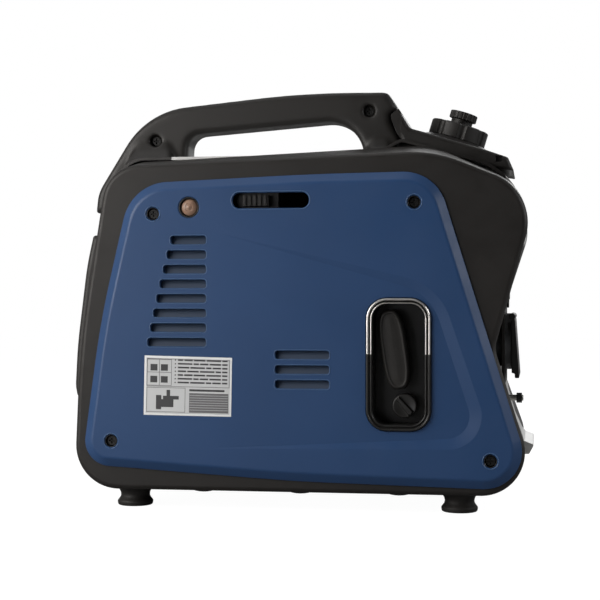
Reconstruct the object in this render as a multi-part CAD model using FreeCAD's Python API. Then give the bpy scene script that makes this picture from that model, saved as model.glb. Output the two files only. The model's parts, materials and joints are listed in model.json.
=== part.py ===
import FreeCAD, Part
import math
import os

# Portable inverter generator of about 1 kW, in millimetres.
# +Z is up, +X points to the control panel, -Y is the side with the recoil starter.
# The origin is on the floor, under the middle of the machine.

V = FreeCAD.Vector

# ---------------------------------------------------------------- driving dimensions
COVER_FACE = 120.0      # half the width over the blue side covers
SHELL_FACE = 112.0      # half the width over the black side shells
SPLIT = 60.0            # the side shells meet the centre panels here
CENTRE_HALF = 59.7      # half width of the centre panels
WALL = 3.0              # wall of the moulded housing
FLOOR_GAP = 18.7        # height of the housing's underside

WAIST = 192.0           # how far forward the hollow under the brow comes
WAIST_IN = 186.5        # the same where the shells meet the centre panels
FAR_SETBACK = 7.0       # the service side's waist and cover lie this much further back


# Outlines are lists of (x, z, corner radius).
def side_outline(waist=WAIST):
    """Outer edge of a side shell."""
    return [(-222, FLOOR_GAP, 43), (-216, 160, 900), (-187.5, 336.5, 38), (134, 347, 130),
            (233, 307.5, 50), (waist, 159, 25), (235, FLOOR_GAP, 42)]


def inner_outline(waist=WAIST_IN):
    """The same shell where it meets the centre panels."""
    return [(-222.5, FLOOR_GAP, 43), (-217, 160, 900), (-190.5, 344, 36), (128, 358, 100),
            (232, 311, 50), (waist, 159, 25), (236.5, FLOOR_GAP, 42)]


def cover_outline(setback=0.0):
    """Outer edge of a side cover; setback draws its front edge back."""
    return [(-212.5, 43.5, 25), (-193.2, 185, 900), (-162, 319, 46), (15, 326.2, 2500),
            (135.8 - setback, 327.9, 42), (230.6 - setback, 24.8, 36), (-3, 30.3, 1500)]


SIDE = side_outline()
SIDE_IN = inner_outline()
COVER = cover_outline()
CENTRE = [
    (-222.5, FLOOR_GAP, 43), (-217, 160, 900), (-192, 350, 34), (70, 350, 12), (98, 365, 10),
    (239.5, 325.5, 68), (185, 160, 25), (237.5, FLOOR_GAP, 42),
]
SHELL_ROUND = 5.0
COVER_BEVEL = 8.5       # width of the sloping border of the side covers
COVER_EDGE = 1.6        # height of the border's square edge
PADS_X = (-92, 4, 100)  # low curved pads under the side shells
PAD_Y = (-104, -64)
PAD_R = 38.6
PAD_RISE = 1.6
DISH = [(-150, 57.5, 5), (-150, 291.5, 5), (131.5, 211, 50), (176, 75, 22)]
DISH_DEPTH = 2.6        # depth of the dished field at its right-hand end
DISH_SPAN = 256.0       # over this length the dish fades out to nothing
DISH_SLOPE = 4.4        # run over rise of the dish's sides
DISH_BACK = 2.4         # extra thickness behind the deep end of the dish

HANDLE_HALF = 20.0      # half the width of the carrying handle
HANDLE = [
    (-227.5, 296, 2), (-225.2, 318, 40), (-172.5, 402.2, 85), (-9, 418.2, 900), (80.5, 417.4, 7),
    (91.5, 400.5, 1), (84, 394.5, 1), (84.5, 388, 6), (95, 366, 8), (104, 350, 0), (56, 340, 0),
    (56, 390.6, 36), (-127.5, 376.7, 15), (-129, 340, 0), (-180, 330, 0), (-196, 296, 0),
]
HANDLE_ROUND = 6.0
HANDLE_POCKET = [(-118, 383, 4), (-118, 400.5, 4), (-9, 412.5, 300), (44, 412, 4), (44, 395, 4)]
HANDLE_FEET = [(-184, -146), (62, 84)]
HANDLE_SCREWS = [(-162, 371), (62, 398)]
SCREW_HEAD = (4.6, 2.6)  # radius and height
SCREW_R = 1.7
SCREW_LONG = 15.0

TANK_COVER = [
    (96, 352, 0), (98, 365.4, 6), (90.5, 374, 8), (85, 388, 4), (84.6, 394, 1), (92.3, 399.8, 1.5),
    (106.5, 376, 8), (125, 370.6, 60), (180, 353.8, 60), (203, 345.6, 4), (209, 331.8, 1), (196, 334, 0),
]
SPINE_HALF = 21.0       # the tank cover's spine behind the handle
TANK_COVER_HALF = 55.0

CAP_TILT = 17.0         # lean of the filler towards the control panel
CAP_SEAT = V(149.5, 0, 368.2)
CAP_R = 29.5
CAP_H = 15.0
NECK_R = 22.0
VENT_R = 14.0
VENT_H = 7.6
VENT_NECK_R = 11.0
VENT_NECK_H = 5.8
VENT_STEM_R = 3.0
TANK = [(24, 262.4, 14), (24, 335, 12), (104, 342, 20), (186, 320, 14), (182, 266, 10)]
TANK_HALF = 90.0
TANK_WALL = 2.0
HOSE_TOP = (106.0, -70.0)

STARTER = (70.0, 132.0, 80.0, 207.0)      # recoil window: x0, x1, z0, z1
STARTER_R = 20.0
RIM = 5.5               # width of the window's rim
RIM_FACE = 121.2
RIM_BACK = 117.0
CUP_BACK = 84.0         # outside of the recess's back wall
GRIP = (78.0, 26.0)     # length and width of the pull grip
GRIP_FACE = 112.0
GRIP_BACK = 96.0
GRIP_CENTRE = (96.0, 157.5)
GRIP_LEAN = 8.5        # the grip leans towards the rear at its top
CRANK_Z = 118.0
ROPE_R = 40.0           # winding radius of the rope pulley
ROPE_Z = CRANK_Z + ROPE_R
ROPE_D = 4.0
PULLEY_X = GRIP_CENTRE[0]

SLOT_H = 7.9
SLOT_PITCH = 14.2
REAR_SLOTS = [-121.0, -124.8, -128.4, -131.8, -135.0, -138.3, -141.2, -144.0]   # rear end of each slot
REAR_SLOT_END = -86.0
REAR_SLOT_TOP = 267.2
FRONT_SLOT_X = (-18.0, 34.5)
FRONT_SLOT_TOP = 156.2
CHOKE_SLOT = (-60.0, 15.0, 293.6, 308.6)
PRIMER = (-103.0, 295.0)
PRIMER_R = 8.3
COVER_SCREWS = [(-139, 289), (116, 298), (-181, 67), (188, 53)]
KNOB = (106.0, 103.5)   # fuel valve
KNOB_R = 11.8
KNOB_FACE = 108.0
KNOB_STEM_R = 3.0
CHOKE_TAB = (-50.0, -25.0)

PANEL_X = 200.0         # face of the control panel
PANEL_Z = (122.0, 262.0)
SOCKETS_Y = (-28.0, 28.0)
SOCKET_Z = 160.0
SWITCH_Z = 240.0
GROUND = (-44.0, 108.5)
GROUND_SEAT = 201.6     # spot face that the earth terminal stands on
GROUND_END = 218.0
SOCKET_R = 24.0
SOCKET_WELL_R = 19.5
SOCKET_RIM = 6.0        # the sockets' rims stand this proud of the panel
LID_PIN = (207.0, 188.8)
LID_BARREL = 3.2
LID = [(206.8, 191.6, 0.5), (208.6, 190.8, 1), (209.9, 185, 2), (214.0, 128.2, 1), (209.8, 128.2, 1),
       (209.4, 132.6, 1), (206.5, 133.4, 0.5), (206.5, 184.6, 0.3)]
LID_HALF = 25.5
SWITCH = (14.0, 20.0)   # width and height of a rocker switch
SWITCHES_Y = (-42.0, -20.0)
LAMPS_Y = (4.0, 18.0, 32.0)
LAMP_R = 4.0
LOW_Z = 211.0           # second row of the panel
DC_SOCKET_Y = 40.0
DC_BORE_R = 9.0
BREAKER_Y = 0.0
BREAKER_R = 5.5

CASE_X = (-60.0, 36.0)
CYL_X = -12.0
BORE_R = 21.6
THROW = 17.0
ROD = 62.0
SHAFT_R = 10.0
SHAFT_END = 84.0
HEAD_Z = 212.0
PORT_Z = 221.5
PORT_R = 9.0
MOUNT_TOP = 44.0
DIP_X = 22.0
DIP_Z = 98.0
HOUSING_R = 64.0
CARB_X = -12.0
CARB_Z = (196.0, 246.0)
CARB_FACE = 42.0
CLEANER = (-134.0, -46.0, -94.0, -40.0, 254.0, 322.0)
MUFFLER_X = (-192.0, -112.0)
OUTLET = (20.0, 205.0)
OUTLET_R = 12.0
OUTLET_END = 229.4
INVERTER_X = (130.0, 176.0)
GUARD = [(-205, 108, 0), (-229.4, 104.5, 6), (-231.9, 118, 30), (-229.8, 160, 500), (-219.9, 240, 300),
         (-213.2, 270.5, 3), (-190, 270.5, 0)]
GUARD_HALF = 76.0
FEET = [(-167, -80), (157, -80), (-167, 80), (157, 80)]


# ---------------------------------------------------------------- helpers
def place(u, v, w, plane):
    """A point of a drawing plane, w away from it along the third axis."""
    return {"XZ": V(u, w, v), "YZ": V(w, u, v), "XY": V(u, v, w)}[plane]


def outline(corners, plane, w):
    """Closed wire through the corners, each rounded to its own radius, w away from the plane."""
    ends = []
    for i, (u, v, r) in enumerate(corners):
        p = V(u, v, 0)
        a = (V(*corners[i - 1][:2], 0) - p).normalize()
        b = (V(*corners[(i + 1) % len(corners)][:2], 0) - p).normalize()
        if r <= 0:
            ends.append((p, None, p))
            continue
        half = math.acos(max(-1, min(1, a.dot(b)))) / 2
        t = r / math.tan(half)
        mid = (a + b).normalize()
        ends.append((p + a * t, p + mid * (r / math.sin(half) - r), p + b * t))

    def lifted(p):
        return place(p.x, p.y, w, plane)

    edges = []
    for i, (start, mid, end) in enumerate(ends):
        if mid is not None:
            edges.append(Part.Arc(lifted(start), lifted(mid), lifted(end)).toShape())
        nxt = ends[(i + 1) % len(ends)][0]
        if (nxt - end).Length > 1e-4:
            edges.append(Part.LineSegment(lifted(end), lifted(nxt)).toShape())
    return Part.Wire(edges)


def prism(corners, plane, w0, w1):
    """The outline drawn at w0 and pushed to w1."""
    axis = {"XZ": V(0, 1, 0), "YZ": V(1, 0, 0), "XY": V(0, 0, 1)}[plane]
    return Part.Face(outline(corners, plane, w0)).extrude(axis * (w1 - w0))


def taper(corners_a, w0, corners_b, w1, plane="XZ"):
    """Straight-sided solid between two like outlines."""
    return Part.makeLoft([outline(corners_a, plane, w0), outline(corners_b, plane, w1)], True, True)


def grown(corners, d):
    """The outline moved outwards by d, or inwards where d is negative."""
    n = len(corners)
    area = 0
    for (u0, v0, _), (u1, v1, _) in zip(corners, corners[1:] + corners[:1]):
        area += u0 * v1 - u1 * v0
    sense = 1 if area > 0 else -1
    lines = []
    for i in range(n):
        a, b = V(*corners[i][:2], 0), V(*corners[(i + 1) % n][:2], 0)
        t = (b - a).normalize()
        out = V(t.y, -t.x, 0) * sense
        lines.append((a + out * d, t))
    moved = []
    for i in range(n):
        (p, s), (q, t) = lines[i - 1], lines[i]
        cross = s.x * t.y - s.y * t.x
        k = ((q.x - p.x) * t.y - (q.y - p.y) * t.x) / cross
        at = p + s * k
        r = corners[i][2] + (d if cross * sense > 0 else -d)
        moved.append((at.x, at.y, max(r, 0.4) if corners[i][2] > 0 else 0))
    return moved


def rect(u0, u1, v0, v1, r=0.0):
    return [(u0, v0, r), (u1, v0, r), (u1, v1, r), (u0, v1, r)]


def box(x0, x1, y0, y1, z0, z1):
    return Part.makeBox(x1 - x0, y1 - y0, z1 - z0, V(x0, y0, z0))


def cyl(x, y, z, axis, r, h):
    return Part.makeCylinder(r, h, V(x, y, z), V(*axis))


def fuse(*shapes):
    whole = shapes[0].multiFuse(list(shapes[1:])) if len(shapes) > 1 else shapes[0]
    return whole.removeSplitter()


def cut(shape, *tools):
    return shape.cut(Part.makeCompound(list(tools))) if tools else shape


def edges_on(shape, axis, value, longer=0.0):
    """Edges that lie in the plane where that coordinate has the value."""
    found = []
    for e in shape.Edges:
        b = e.BoundBox
        lo, hi = {"x": (b.XMin, b.XMax), "y": (b.YMin, b.YMax), "z": (b.ZMin, b.ZMax)}[axis]
        if abs(lo - value) < 0.02 and abs(hi - value) < 0.02 and e.Length > longer:
            found.append(e)
    return found


def soften(shape, r, axis, value, longer=0.0):
    """Rounds the edges in one plane."""
    return shape.makeFillet(r, edges_on(shape, axis, value, longer))


def other_side(shape):
    return shape.mirror(V(0, 0, 0), V(0, 1, 0))


def flared_hole(corners, face, depth, flare=0.8):
    """Cutter for an opening with a small bevelled lip, sunk from the -Y face to the depth given."""
    hole = prism(corners, "XZ", face - 1, face + depth)
    lip = taper(grown(corners, flare * 2), face - flare, corners, face + flare)
    return hole.fuse(lip)


def on_cap(shape):
    """Moves a shape drawn about +Z at the origin onto the filler's leaning axis."""
    placed = shape.copy()
    placed.rotate(V(0, 0, 0), V(0, 1, 0), CAP_TILT)
    placed.translate(CAP_SEAT)
    return placed


def rounded_slab(corners, w0, w1, r, steps=4):
    """Slab between two XZ planes, its rim rounded to radius r at w0 and square at w1."""
    if r <= 0:
        return prism(corners, "XZ", w0, w1)
    levels = []
    for i in range(steps + 1):
        a = math.radians(90 * i / steps)
        levels.append((w0 + r * (1 - math.cos(a)), r * (1 - math.sin(a))))
    layers = []
    for (at_a, in_a), (at_b, in_b) in zip(levels, levels[1:]):
        layers.append(taper(grown(corners, -in_a), at_a, grown(corners, -in_b), at_b))
    return fuse(*layers, prism(corners, "XZ", w0 + r, w1))


def pipe(points, r, bend):
    """Round tube through the points, with a bend of the radius given at each inner point."""
    edges = []
    at = points[0]
    for i in range(1, len(points) - 1):
        p = points[i]
        a, b = (points[i - 1] - p).normalize(), (points[i + 1] - p).normalize()
        half = a.getAngle(b) / 2
        t = bend / math.tan(half)
        mid = (a + b).normalize()
        edges.append(Part.LineSegment(at, p + a * t).toShape())
        edges.append(Part.Arc(p + a * t, p + mid * (bend / math.sin(half) - bend), p + b * t).toShape())
        at = p + b * t
    edges.append(Part.LineSegment(at, points[-1]).toShape())
    start = Part.Wire([Part.Circle(points[0], (points[1] - points[0]).normalize(), r).toShape()])
    return Part.Wire(edges).makePipeShell([start], True, False)


def screw(at, out):
    """Cross-head screw; at is under its head, and out points the way the head faces."""
    d = V(*out)
    up = V(0, 0, 1)
    across = d.cross(up)
    head = Part.makeCylinder(SCREW_HEAD[0], SCREW_HEAD[1], at, d)
    shank = Part.makeCylinder(SCREW_R, SCREW_LONG, at - d * SCREW_LONG, d)
    recess = []
    for a, b in ((up, across), (across, up)):
        half_l, half_w = SCREW_HEAD[0] * 0.6, SCREW_HEAD[0] * 0.13
        p = at + d * (SCREW_HEAD[1] * 0.4) - a * half_l - b * half_w
        loop = [p, p + a * 2 * half_l, p + a * 2 * half_l + b * 2 * half_w, p + b * 2 * half_w, p]
        recess.append(Part.Face(Part.makePolygon(loop)).extrude(d * SCREW_HEAD[1]))
    return cut(head.fuse(shank), *recess)


PARTS = {}


def keep(name, *solids):
    PARTS[name] = Part.makeCompound([s for shape in solids for s in shape.Solids])


# ---------------------------------------------------------------- housing
def side_shell(outer, inner):
    """Deep tray of textured plastic, with low pads under it and a boss behind each cover screw."""
    body = soften(taper(outer, -SHELL_FACE, inner, -SPLIT), SHELL_ROUND, "y", -SHELL_FACE)
    body = body.cut(taper(grown(outer, -WALL), -SHELL_FACE + WALL, grown(inner, -WALL), -SPLIT))
    y0, y1 = PAD_Y
    pads = []
    for x in PADS_X:
        arc = cyl(x, y0, FLOOR_GAP - PAD_RISE + PAD_R, (0, 1, 0), PAD_R, y1 - y0)
        pads.append(arc.common(box(x - 20, x + 20, y0, y1, FLOOR_GAP - 5, FLOOR_GAP + 1)))
    bosses = [cyl(x, -SHELL_FACE + 1, z, (0, 1, 0), 6, 14) for x, z in COVER_SCREWS]
    threads = [cyl(x, -SHELL_FACE - 1, z, (0, 1, 0), SCREW_R + 0.05, 14.5) for x, z in COVER_SCREWS]
    return cut(fuse(body, *pads, *bosses), *threads)


def shell_window(corners):
    """Cutter for an opening in the shell's flat side."""
    return prism(corners, "XZ", -SHELL_FACE - 1, -SHELL_FACE + 5)


def cover_blank(corners):
    """Side cover before its openings: square edge, sloping border and flat field."""
    foot = prism(corners, "XZ", -SHELL_FACE - COVER_EDGE, -SHELL_FACE)
    border = taper(corners, -SHELL_FACE - COVER_EDGE, grown(corners, -COVER_BEVEL), -COVER_FACE)
    blank = soften(fuse(foot, border), 5.0, "y", -COVER_FACE)
    return blank.cut(prism(grown(corners, -COVER_BEVEL - 5), "XZ", -COVER_FACE + WALL, -SHELL_FACE))


def dish_tool():
    """Cutter whose floor is tilted, so that the dish fades out towards the rear."""
    rise = 7.8
    floor = -COVER_FACE + DISH_DEPTH
    tool = taper(DISH, floor, grown(DISH, rise * DISH_SLOPE), floor - rise)
    tool.rotate(V(DISH[3][0], floor, 0), V(0, 0, 1), math.degrees(DISH_DEPTH / DISH_SPAN))
    return tool


def dish_backing():
    """Material behind the deep end of the dish, so that the wall is as thick there as elsewhere."""
    inside = -COVER_FACE + WALL
    slab = prism(grown(DISH, 6), "XZ", inside - 0.2, inside + DISH_BACK)
    return slab.common(box(-20, 220, -COVER_FACE, -SHELL_FACE, 0, 300))


def slot_corners(x0, x1, top, h=SLOT_H):
    return rect(x0, x1, top - h, top, 2.6)


def rear_slots():
    return [slot_corners(x, REAR_SLOT_END, REAR_SLOT_TOP - i * SLOT_PITCH) for i, x in enumerate(REAR_SLOTS)]


def front_slots():
    return [slot_corners(*FRONT_SLOT_X, FRONT_SLOT_TOP - i * SLOT_PITCH) for i in range(3)]


def slot_backing(groups):
    """Full-depth material behind each group of slots, so that their walls are as deep as the cover."""
    backs = []
    for group in groups:
        u0 = min(c[0] for s in group for c in s) - 4
        u1 = max(c[0] for s in group for c in s) + 4
        v0 = min(c[1] for s in group for c in s) - 4
        v1 = max(c[1] for s in group for c in s) + 4
        backs.append(box(u0, u1, -COVER_FACE + WALL - 1.2, -SHELL_FACE - 0.2, v0, v1))
    return backs


def screw_bosses():
    return [cyl(x, -COVER_FACE + WALL - 1.2, z, (0, 1, 0), 9.5, 6.0) for x, z in COVER_SCREWS]


def screw_wells():
    """Counterbores for the cover's screws, with a bevelled mouth."""
    wells = []
    for x, z in COVER_SCREWS:
        wells.append(cyl(x, -COVER_FACE - 1, z, (0, 1, 0), 6.2, 7.2))
        wells.append(cyl(x, -COVER_FACE - 1, z, (0, 1, 0), 2.4, 12))
        wells.append(Part.makeCone(7.6, 6.2, 1.4, V(x, -COVER_FACE - 0.4, z), V(0, 1, 0)))
    return wells


def starter_outline(inset=0.0):
    x0, x1, z0, z1 = STARTER
    return grown(rect(x0, x1, z0, z1, STARTER_R), -inset) if inset else rect(x0, x1, z0, z1, STARTER_R)


def starter_side():
    """Shell and cover with the recoil window, slots, choke slot and primer."""
    groups = [rear_slots(), front_slots()]
    cover = fuse(cover_blank(COVER), *slot_backing(groups), *screw_bosses(), dish_backing())
    cover = cut(cover, dish_tool())
    tools = [flared_hole(s, -COVER_FACE, 12, 0.7) for g in groups for s in g]
    x0, x1, z0, z1 = CHOKE_SLOT
    tools.append(flared_hole(rect(x0, x1, z0, z1, (z1 - z0) / 2 - 0.2), -COVER_FACE, 12, 1.1))
    tools.append(flared_hole(grown(starter_outline(), 0.4), -COVER_FACE, 12, 1.0))
    tools.append(cyl(PRIMER[0], -COVER_FACE - 1, PRIMER[1], (0, 1, 0), 10.2, 14))
    tools.append(Part.makeCone(11.4, 10.2, 1.2, V(PRIMER[0], -COVER_FACE - 0.4, PRIMER[1]), V(0, 1, 0)))
    cover = cut(cover, *tools, *screw_wells())
    keep("recoil_side_cover", cover)

    holes = [shell_window(grown(starter_outline(), 0.4)),
             shell_window(rect(x0 - 2, x1 + 2, z0 - 2, z1 + 2, 6)),
             shell_window([(-154, 157, 6), (-84, 157, 6), (-84, 269, 6), (-123, 269, 6)]),
             shell_window(rect(-20, 37, 118, 158, 6)),
             cyl(PRIMER[0], -SHELL_FACE - 1, PRIMER[1], (0, 1, 0), PRIMER_R + 0.4, 5)]
    keep("recoil_side_shell", cut(side_shell(SIDE, SIDE_IN), *holes))


HATCH = rect(-60, 92, 92, 232, 16)
HATCH_KNOB = (16.0, 216.0)


def service_side():
    """Shell and cover on the far side: a lift-off hatch over the plug and oil filler, and outlet slots."""
    slots = [slot_corners(REAR_SLOTS[-1], -86.0, REAR_SLOT_TOP - i * SLOT_PITCH) for i in range(8)]
    low = [slot_corners(112, 168, 150 - i * SLOT_PITCH) for i in range(3)]
    cover = fuse(cover_blank(cover_outline(FAR_SETBACK)), *slot_backing([slots, low]), *screw_bosses(),
                 prism(grown(HATCH, 6), "XZ", -COVER_FACE + WALL - 1.2, -SHELL_FACE - 0.2))
    tools = [flared_hole(s, -COVER_FACE, 12, 0.7) for s in slots + low]
    tools.append(flared_hole(grown(HATCH, 0.6), -COVER_FACE, 3.5, 0.8))
    tools.append(prism(grown(HATCH, -5), "XZ", -COVER_FACE, -SHELL_FACE + 1))
    keep("service_side_cover", other_side(cut(cover, *tools, *screw_wells())))

    shell = side_shell(side_outline(WAIST - FAR_SETBACK), inner_outline(WAIST_IN - FAR_SETBACK))
    holes = [shell_window(grown(HATCH, -8)), shell_window(rect(-147, -84, 157, 269, 6)),
             shell_window(rect(110, 170, 112, 152, 6))]
    keep("service_side_shell", other_side(cut(shell, *holes)))

    hatch = prism(HATCH, "XZ", -COVER_FACE + 0.2, -COVER_FACE + 3.2)
    hatch = soften(hatch, 1.2, "y", -COVER_FACE + 0.2)
    hatch = hatch.cut(prism(grown(HATCH, -14), "XZ", -COVER_FACE - 1, -COVER_FACE + 1.2))
    ribs = [prism(rect(-30, 62, 118 + i * 14, 122 + i * 14, 1.9), "XZ", -COVER_FACE + 0.2, -COVER_FACE + 2)
            for i in range(5)]
    x, z = HATCH_KNOB
    hatch = cut(fuse(hatch, *ribs), cyl(x, -COVER_FACE - 2, z, (0, 1, 0), 4.3, 8),
                cyl(x, -COVER_FACE - 2, z, (0, 1, 0), 9.6, 4))
    keep("service_hatch", other_side(hatch))
    knob = cyl(x, -RIM_FACE, z, (0, 1, 0), 9.0, 2.9)
    knob = soften(knob, 1.0, "y", -RIM_FACE)
    stem = cyl(x, -RIM_FACE + 2, z, (0, 1, 0), 4.0, 7.0)
    tee = box(x - 6.5, x + 6.5, -COVER_FACE + 3.6, -COVER_FACE + 6.2, z - 3, z + 3)
    slot = box(x - 7, x + 7, -RIM_FACE - 1, -RIM_FACE + 1.5, z - 1.1, z + 1.1)
    keep("hatch_latch_knob", other_side(cut(fuse(knob, stem, tee), slot)))


def centre_ring(corners):
    """Wall of the housing's middle band."""
    return prism(corners, "XZ", -CENTRE_HALF, CENTRE_HALF).cut(
        prism(grown(corners, -WALL), "XZ", -SPLIT - 1, SPLIT + 1))


def centre_panels():
    upper, lower = centre_ring(CENTRE), centre_ring(SIDE_IN)
    deck = upper.common(box(-240, 76, -70, 70, 300.2, 380))
    keep("top_deck", deck)
    brow = upper.common(box(201, 260, -70, 70, 262.4, 380))
    lip = box(PANEL_X - 3, 217, -CENTRE_HALF, CENTRE_HALF, 262.4, 265.4)
    keep("brow_panel", fuse(brow, lip))
    rear = lower.common(box(-240, -150, -70, 70, 54.4, 299.8))
    vents = [box(-240, -190, -45, 45, z, z + 8) for z in (78, 92)]
    keep("rear_panel", cut(rear, *vents, cyl(-240, 20, 205, (1, 0, 0), 19, 60)))
    base = lower.common(box(-240, 260, -70, 70, 0, 54))
    drains = [prism(rect(x, x + 60, y, y + 7, 3.4), "XY", 10, 30)
              for x in (-120, -30, 60) for y in (-40, -20, 13, 33)]
    keep("base_tray", cut(base, *drains))
    scoop = prism([
        (199.7, 121.4, 0), (201.8, 110, 20), (208.6, 87, 30), (215.8, 71.5, 8),
        (219.2, 67.2, 1), (228.4, 63.6, 1.6), (223.6, 54.6, 2), (216, 54.4, 1),
        (212.2, 64, 4), (205.2, 84, 20), (195.8, 112, 15), (193.7, 121.4, 0),
    ], "XZ", -CENTRE_HALF, CENTRE_HALF)
    y, z = GROUND
    seat = cyl(GROUND_SEAT, y, z, (1, 0, 0), 6.5, 10)
    keep("front_scoop", cut(scoop, seat, cyl(GROUND_SEAT - 30, y, z, (1, 0, 0), 3.05, 40)))


def handle():
    """Carrying handle in two halves that meet on the middle plane, with flared feet."""
    body = prism(CENTRE, "XZ", -CENTRE_HALF, CENTRE_HALF)
    bar = rounded_slab(HANDLE, -HANDLE_HALF, 0, HANDLE_ROUND)
    feet = [flared_foot(x0, x1) for x0, x1 in HANDLE_FEET]
    pocket = prism(HANDLE_POCKET, "XZ", -HANDLE_HALF + 4, 1)
    half = cut(fuse(bar, *feet), body, pocket)
    wells, threads = [], []
    for x, z in HANDLE_SCREWS:
        wells.append(cyl(x, -HANDLE_HALF - 30, z, (0, 1, 0), 6.2, 38))
        wells.append(cyl(x, -HANDLE_HALF - 1, z, (0, 1, 0), 2.4, 30))
        threads.append(cyl(x, -1, z, (0, 1, 0), SCREW_R + 0.05, 13))
    keep("handle_left_half", cut(half, *wells))
    keep("handle_right_half", cut(other_side(half), *threads))


def flared_foot(x0, x1):
    """Saddle where the handle spreads onto the deck; it narrows upwards in a hollow curve."""
    wires = []
    for z, half, ease in ((344, 44, 8), (352, 33, 5), (360, 25, 2.5), (372, 19.5, 0)):
        wires.append(outline([
            (x0 - ease, -half, 7), (x1 + ease, -half, 7), (x1 + ease, 0, 0), (x0 - ease, 0, 0),
        ], "XY", z))
    return Part.makeLoft(wires, True, True)


def housing_screws():
    """Cross-head screws of the side covers and the handle; all the same."""
    heads = []
    for x, z in COVER_SCREWS:
        for side in (-1, 1):
            heads.append(screw(V(x, side * (COVER_FACE - 6.2), z), (0, side, 0)))
    for x, z in HANDLE_SCREWS:
        heads.append(screw(V(x, -HANDLE_HALF + 8, z), (0, -1, 0)))
    keep("housing_screws", *heads)


def tank_cover():
    """Black upper panel around the filler, with a spine that meets the handle."""
    ring = centre_ring(CENTRE).common(box(76.4, 200.8, -70, 70, 262.4, 380))
    slab = rounded_slab(TANK_COVER, -TANK_COVER_HALF, 0, 4.0)
    slab = fuse(slab, other_side(slab))
    trim = [box(60, 97.5, SPINE_HALF, SPINE_HALF + 40, 362, 420),
            box(60, 97.5, -SPINE_HALF - 40, -SPINE_HALF, 362, 420)]
    slab = cut(slab, *trim, prism(grown(CENTRE, -WALL), "XZ", -CENTRE_HALF, CENTRE_HALF),
               prism(grown(HANDLE, 0.15), "XZ", -HANDLE_HALF - 0.2, HANDLE_HALF + 0.2))
    slab = slab.cut(box(40, 260, -70, 70, 250, 330))
    mound = on_cap(Part.makeCone(44, CAP_R + 2, 7.0, V(0, 0, -7.4)))
    whole = fuse(ring, slab, mound.cut(prism(grown(CENTRE, -1), "XZ", -70, 70)))
    notch = [box(191, 197.4, s * TANK_COVER_HALF - 4, s * TANK_COVER_HALF + 4, 341, 347.2) for s in (-1, 1)]
    whole = cut(whole, *notch, on_cap(cyl(0, 0, -50, (0, 0, 1), NECK_R + 0.4, 60)))
    keep("tank_cover", whole)


def fuel_system():
    """Tank with its leaning neck, the lobed cap, the vent knob and the hoses down to the valve."""
    tank = prism(TANK, "XZ", -TANK_HALF, TANK_HALF)
    tank = tank.makeFillet(6.0, edges_on(tank, "y", -TANK_HALF) + edges_on(tank, "y", TANK_HALF))
    neck = on_cap(cyl(0, 0, -46, (0, 0, 1), NECK_R, 47.5))
    inside = prism(grown(TANK, -TANK_WALL), "XZ", -TANK_HALF + TANK_WALL, TANK_HALF - TANK_WALL)
    tank = cut(fuse(tank, neck), inside, on_cap(cyl(0, 0, -46, (0, 0, 1), NECK_R - 2, 60)))
    spout = cyl(*HOSE_TOP, TANK[0][1] + 2.6, (0, 0, -1), 3.0, 16)
    keep("fuel_tank", fuse(tank, spout))

    cap = Part.makeCylinder(CAP_R, CAP_H, V(0, 0, 0.3))
    flutes = []
    reach = CAP_R + 2.9
    for i in range(8):
        a = math.radians(i * 45 + 10)
        flutes.append(cyl(reach * math.cos(a), reach * math.sin(a), -1, (0, 0, 1), 5.2, CAP_H + 2))
    cap = cut(cap, *flutes)
    cap = cap.makeFillet(1.4, [e for e in cap.Edges if abs(e.BoundBox.ZMin - CAP_H - 0.3) < 0.01])
    hollow = Part.makeCylinder(NECK_R + 1.4, CAP_H - 4)
    post = Part.makeCylinder(VENT_NECK_R, VENT_NECK_H, V(0, 0, CAP_H + 0.3))
    cap = cut(fuse(cap, post), hollow, Part.makeCylinder(VENT_STEM_R + 0.05, 40, V(0, 0, CAP_H - 8)))
    keep("fuel_cap", on_cap(cap))

    base = CAP_H + 0.3 + VENT_NECK_H + 0.3
    knob = Part.makeCylinder(VENT_R, VENT_H, V(0, 0, base))
    knob = knob.makeFillet(1.0, [e for e in knob.Edges if e.BoundBox.ZLength < 0.01])
    grooves = []
    reach = VENT_R + 0.5
    for i in range(20):
        a = math.radians(i * 18)
        grooves.append(cyl(reach * math.cos(a), reach * math.sin(a), base - 1, (0, 0, 1), 1.1, VENT_H + 2))
    stem = Part.makeCylinder(VENT_STEM_R, VENT_NECK_H + 3, V(0, 0, base - VENT_NECK_H - 3))
    keep("vent_knob", on_cap(fuse(cut(knob, *grooves), stem)))

    x, y = HOSE_TOP
    valve = fuse(cyl(KNOB[0], -CUP_BACK + 0.2, KNOB[1], (0, 1, 0), 9, 18),
                 cyl(x, y, KNOB[1], (0, 0, 1), 4.5, 16), cyl(KNOB[0], y, KNOB[1], (-1, 0, 0), 3, 20))
    valve = valve.cut(cyl(KNOB[0], -COVER_FACE, KNOB[1], (0, 1, 0), KNOB_STEM_R + 0.08, 48))
    down = cyl(x, y, KNOB[1] + 16, (0, 0, 1), 4.5, TANK[0][1] - 13.4 - KNOB[1] - 16)
    across = pipe([V(KNOB[0] - 20, y, KNOB[1]), V(CARB_X, y, KNOB[1]), V(CARB_X, y, CARB_Z[0])], 4.5, 26)
    keep("fuel_lines", valve, down, across)


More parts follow.
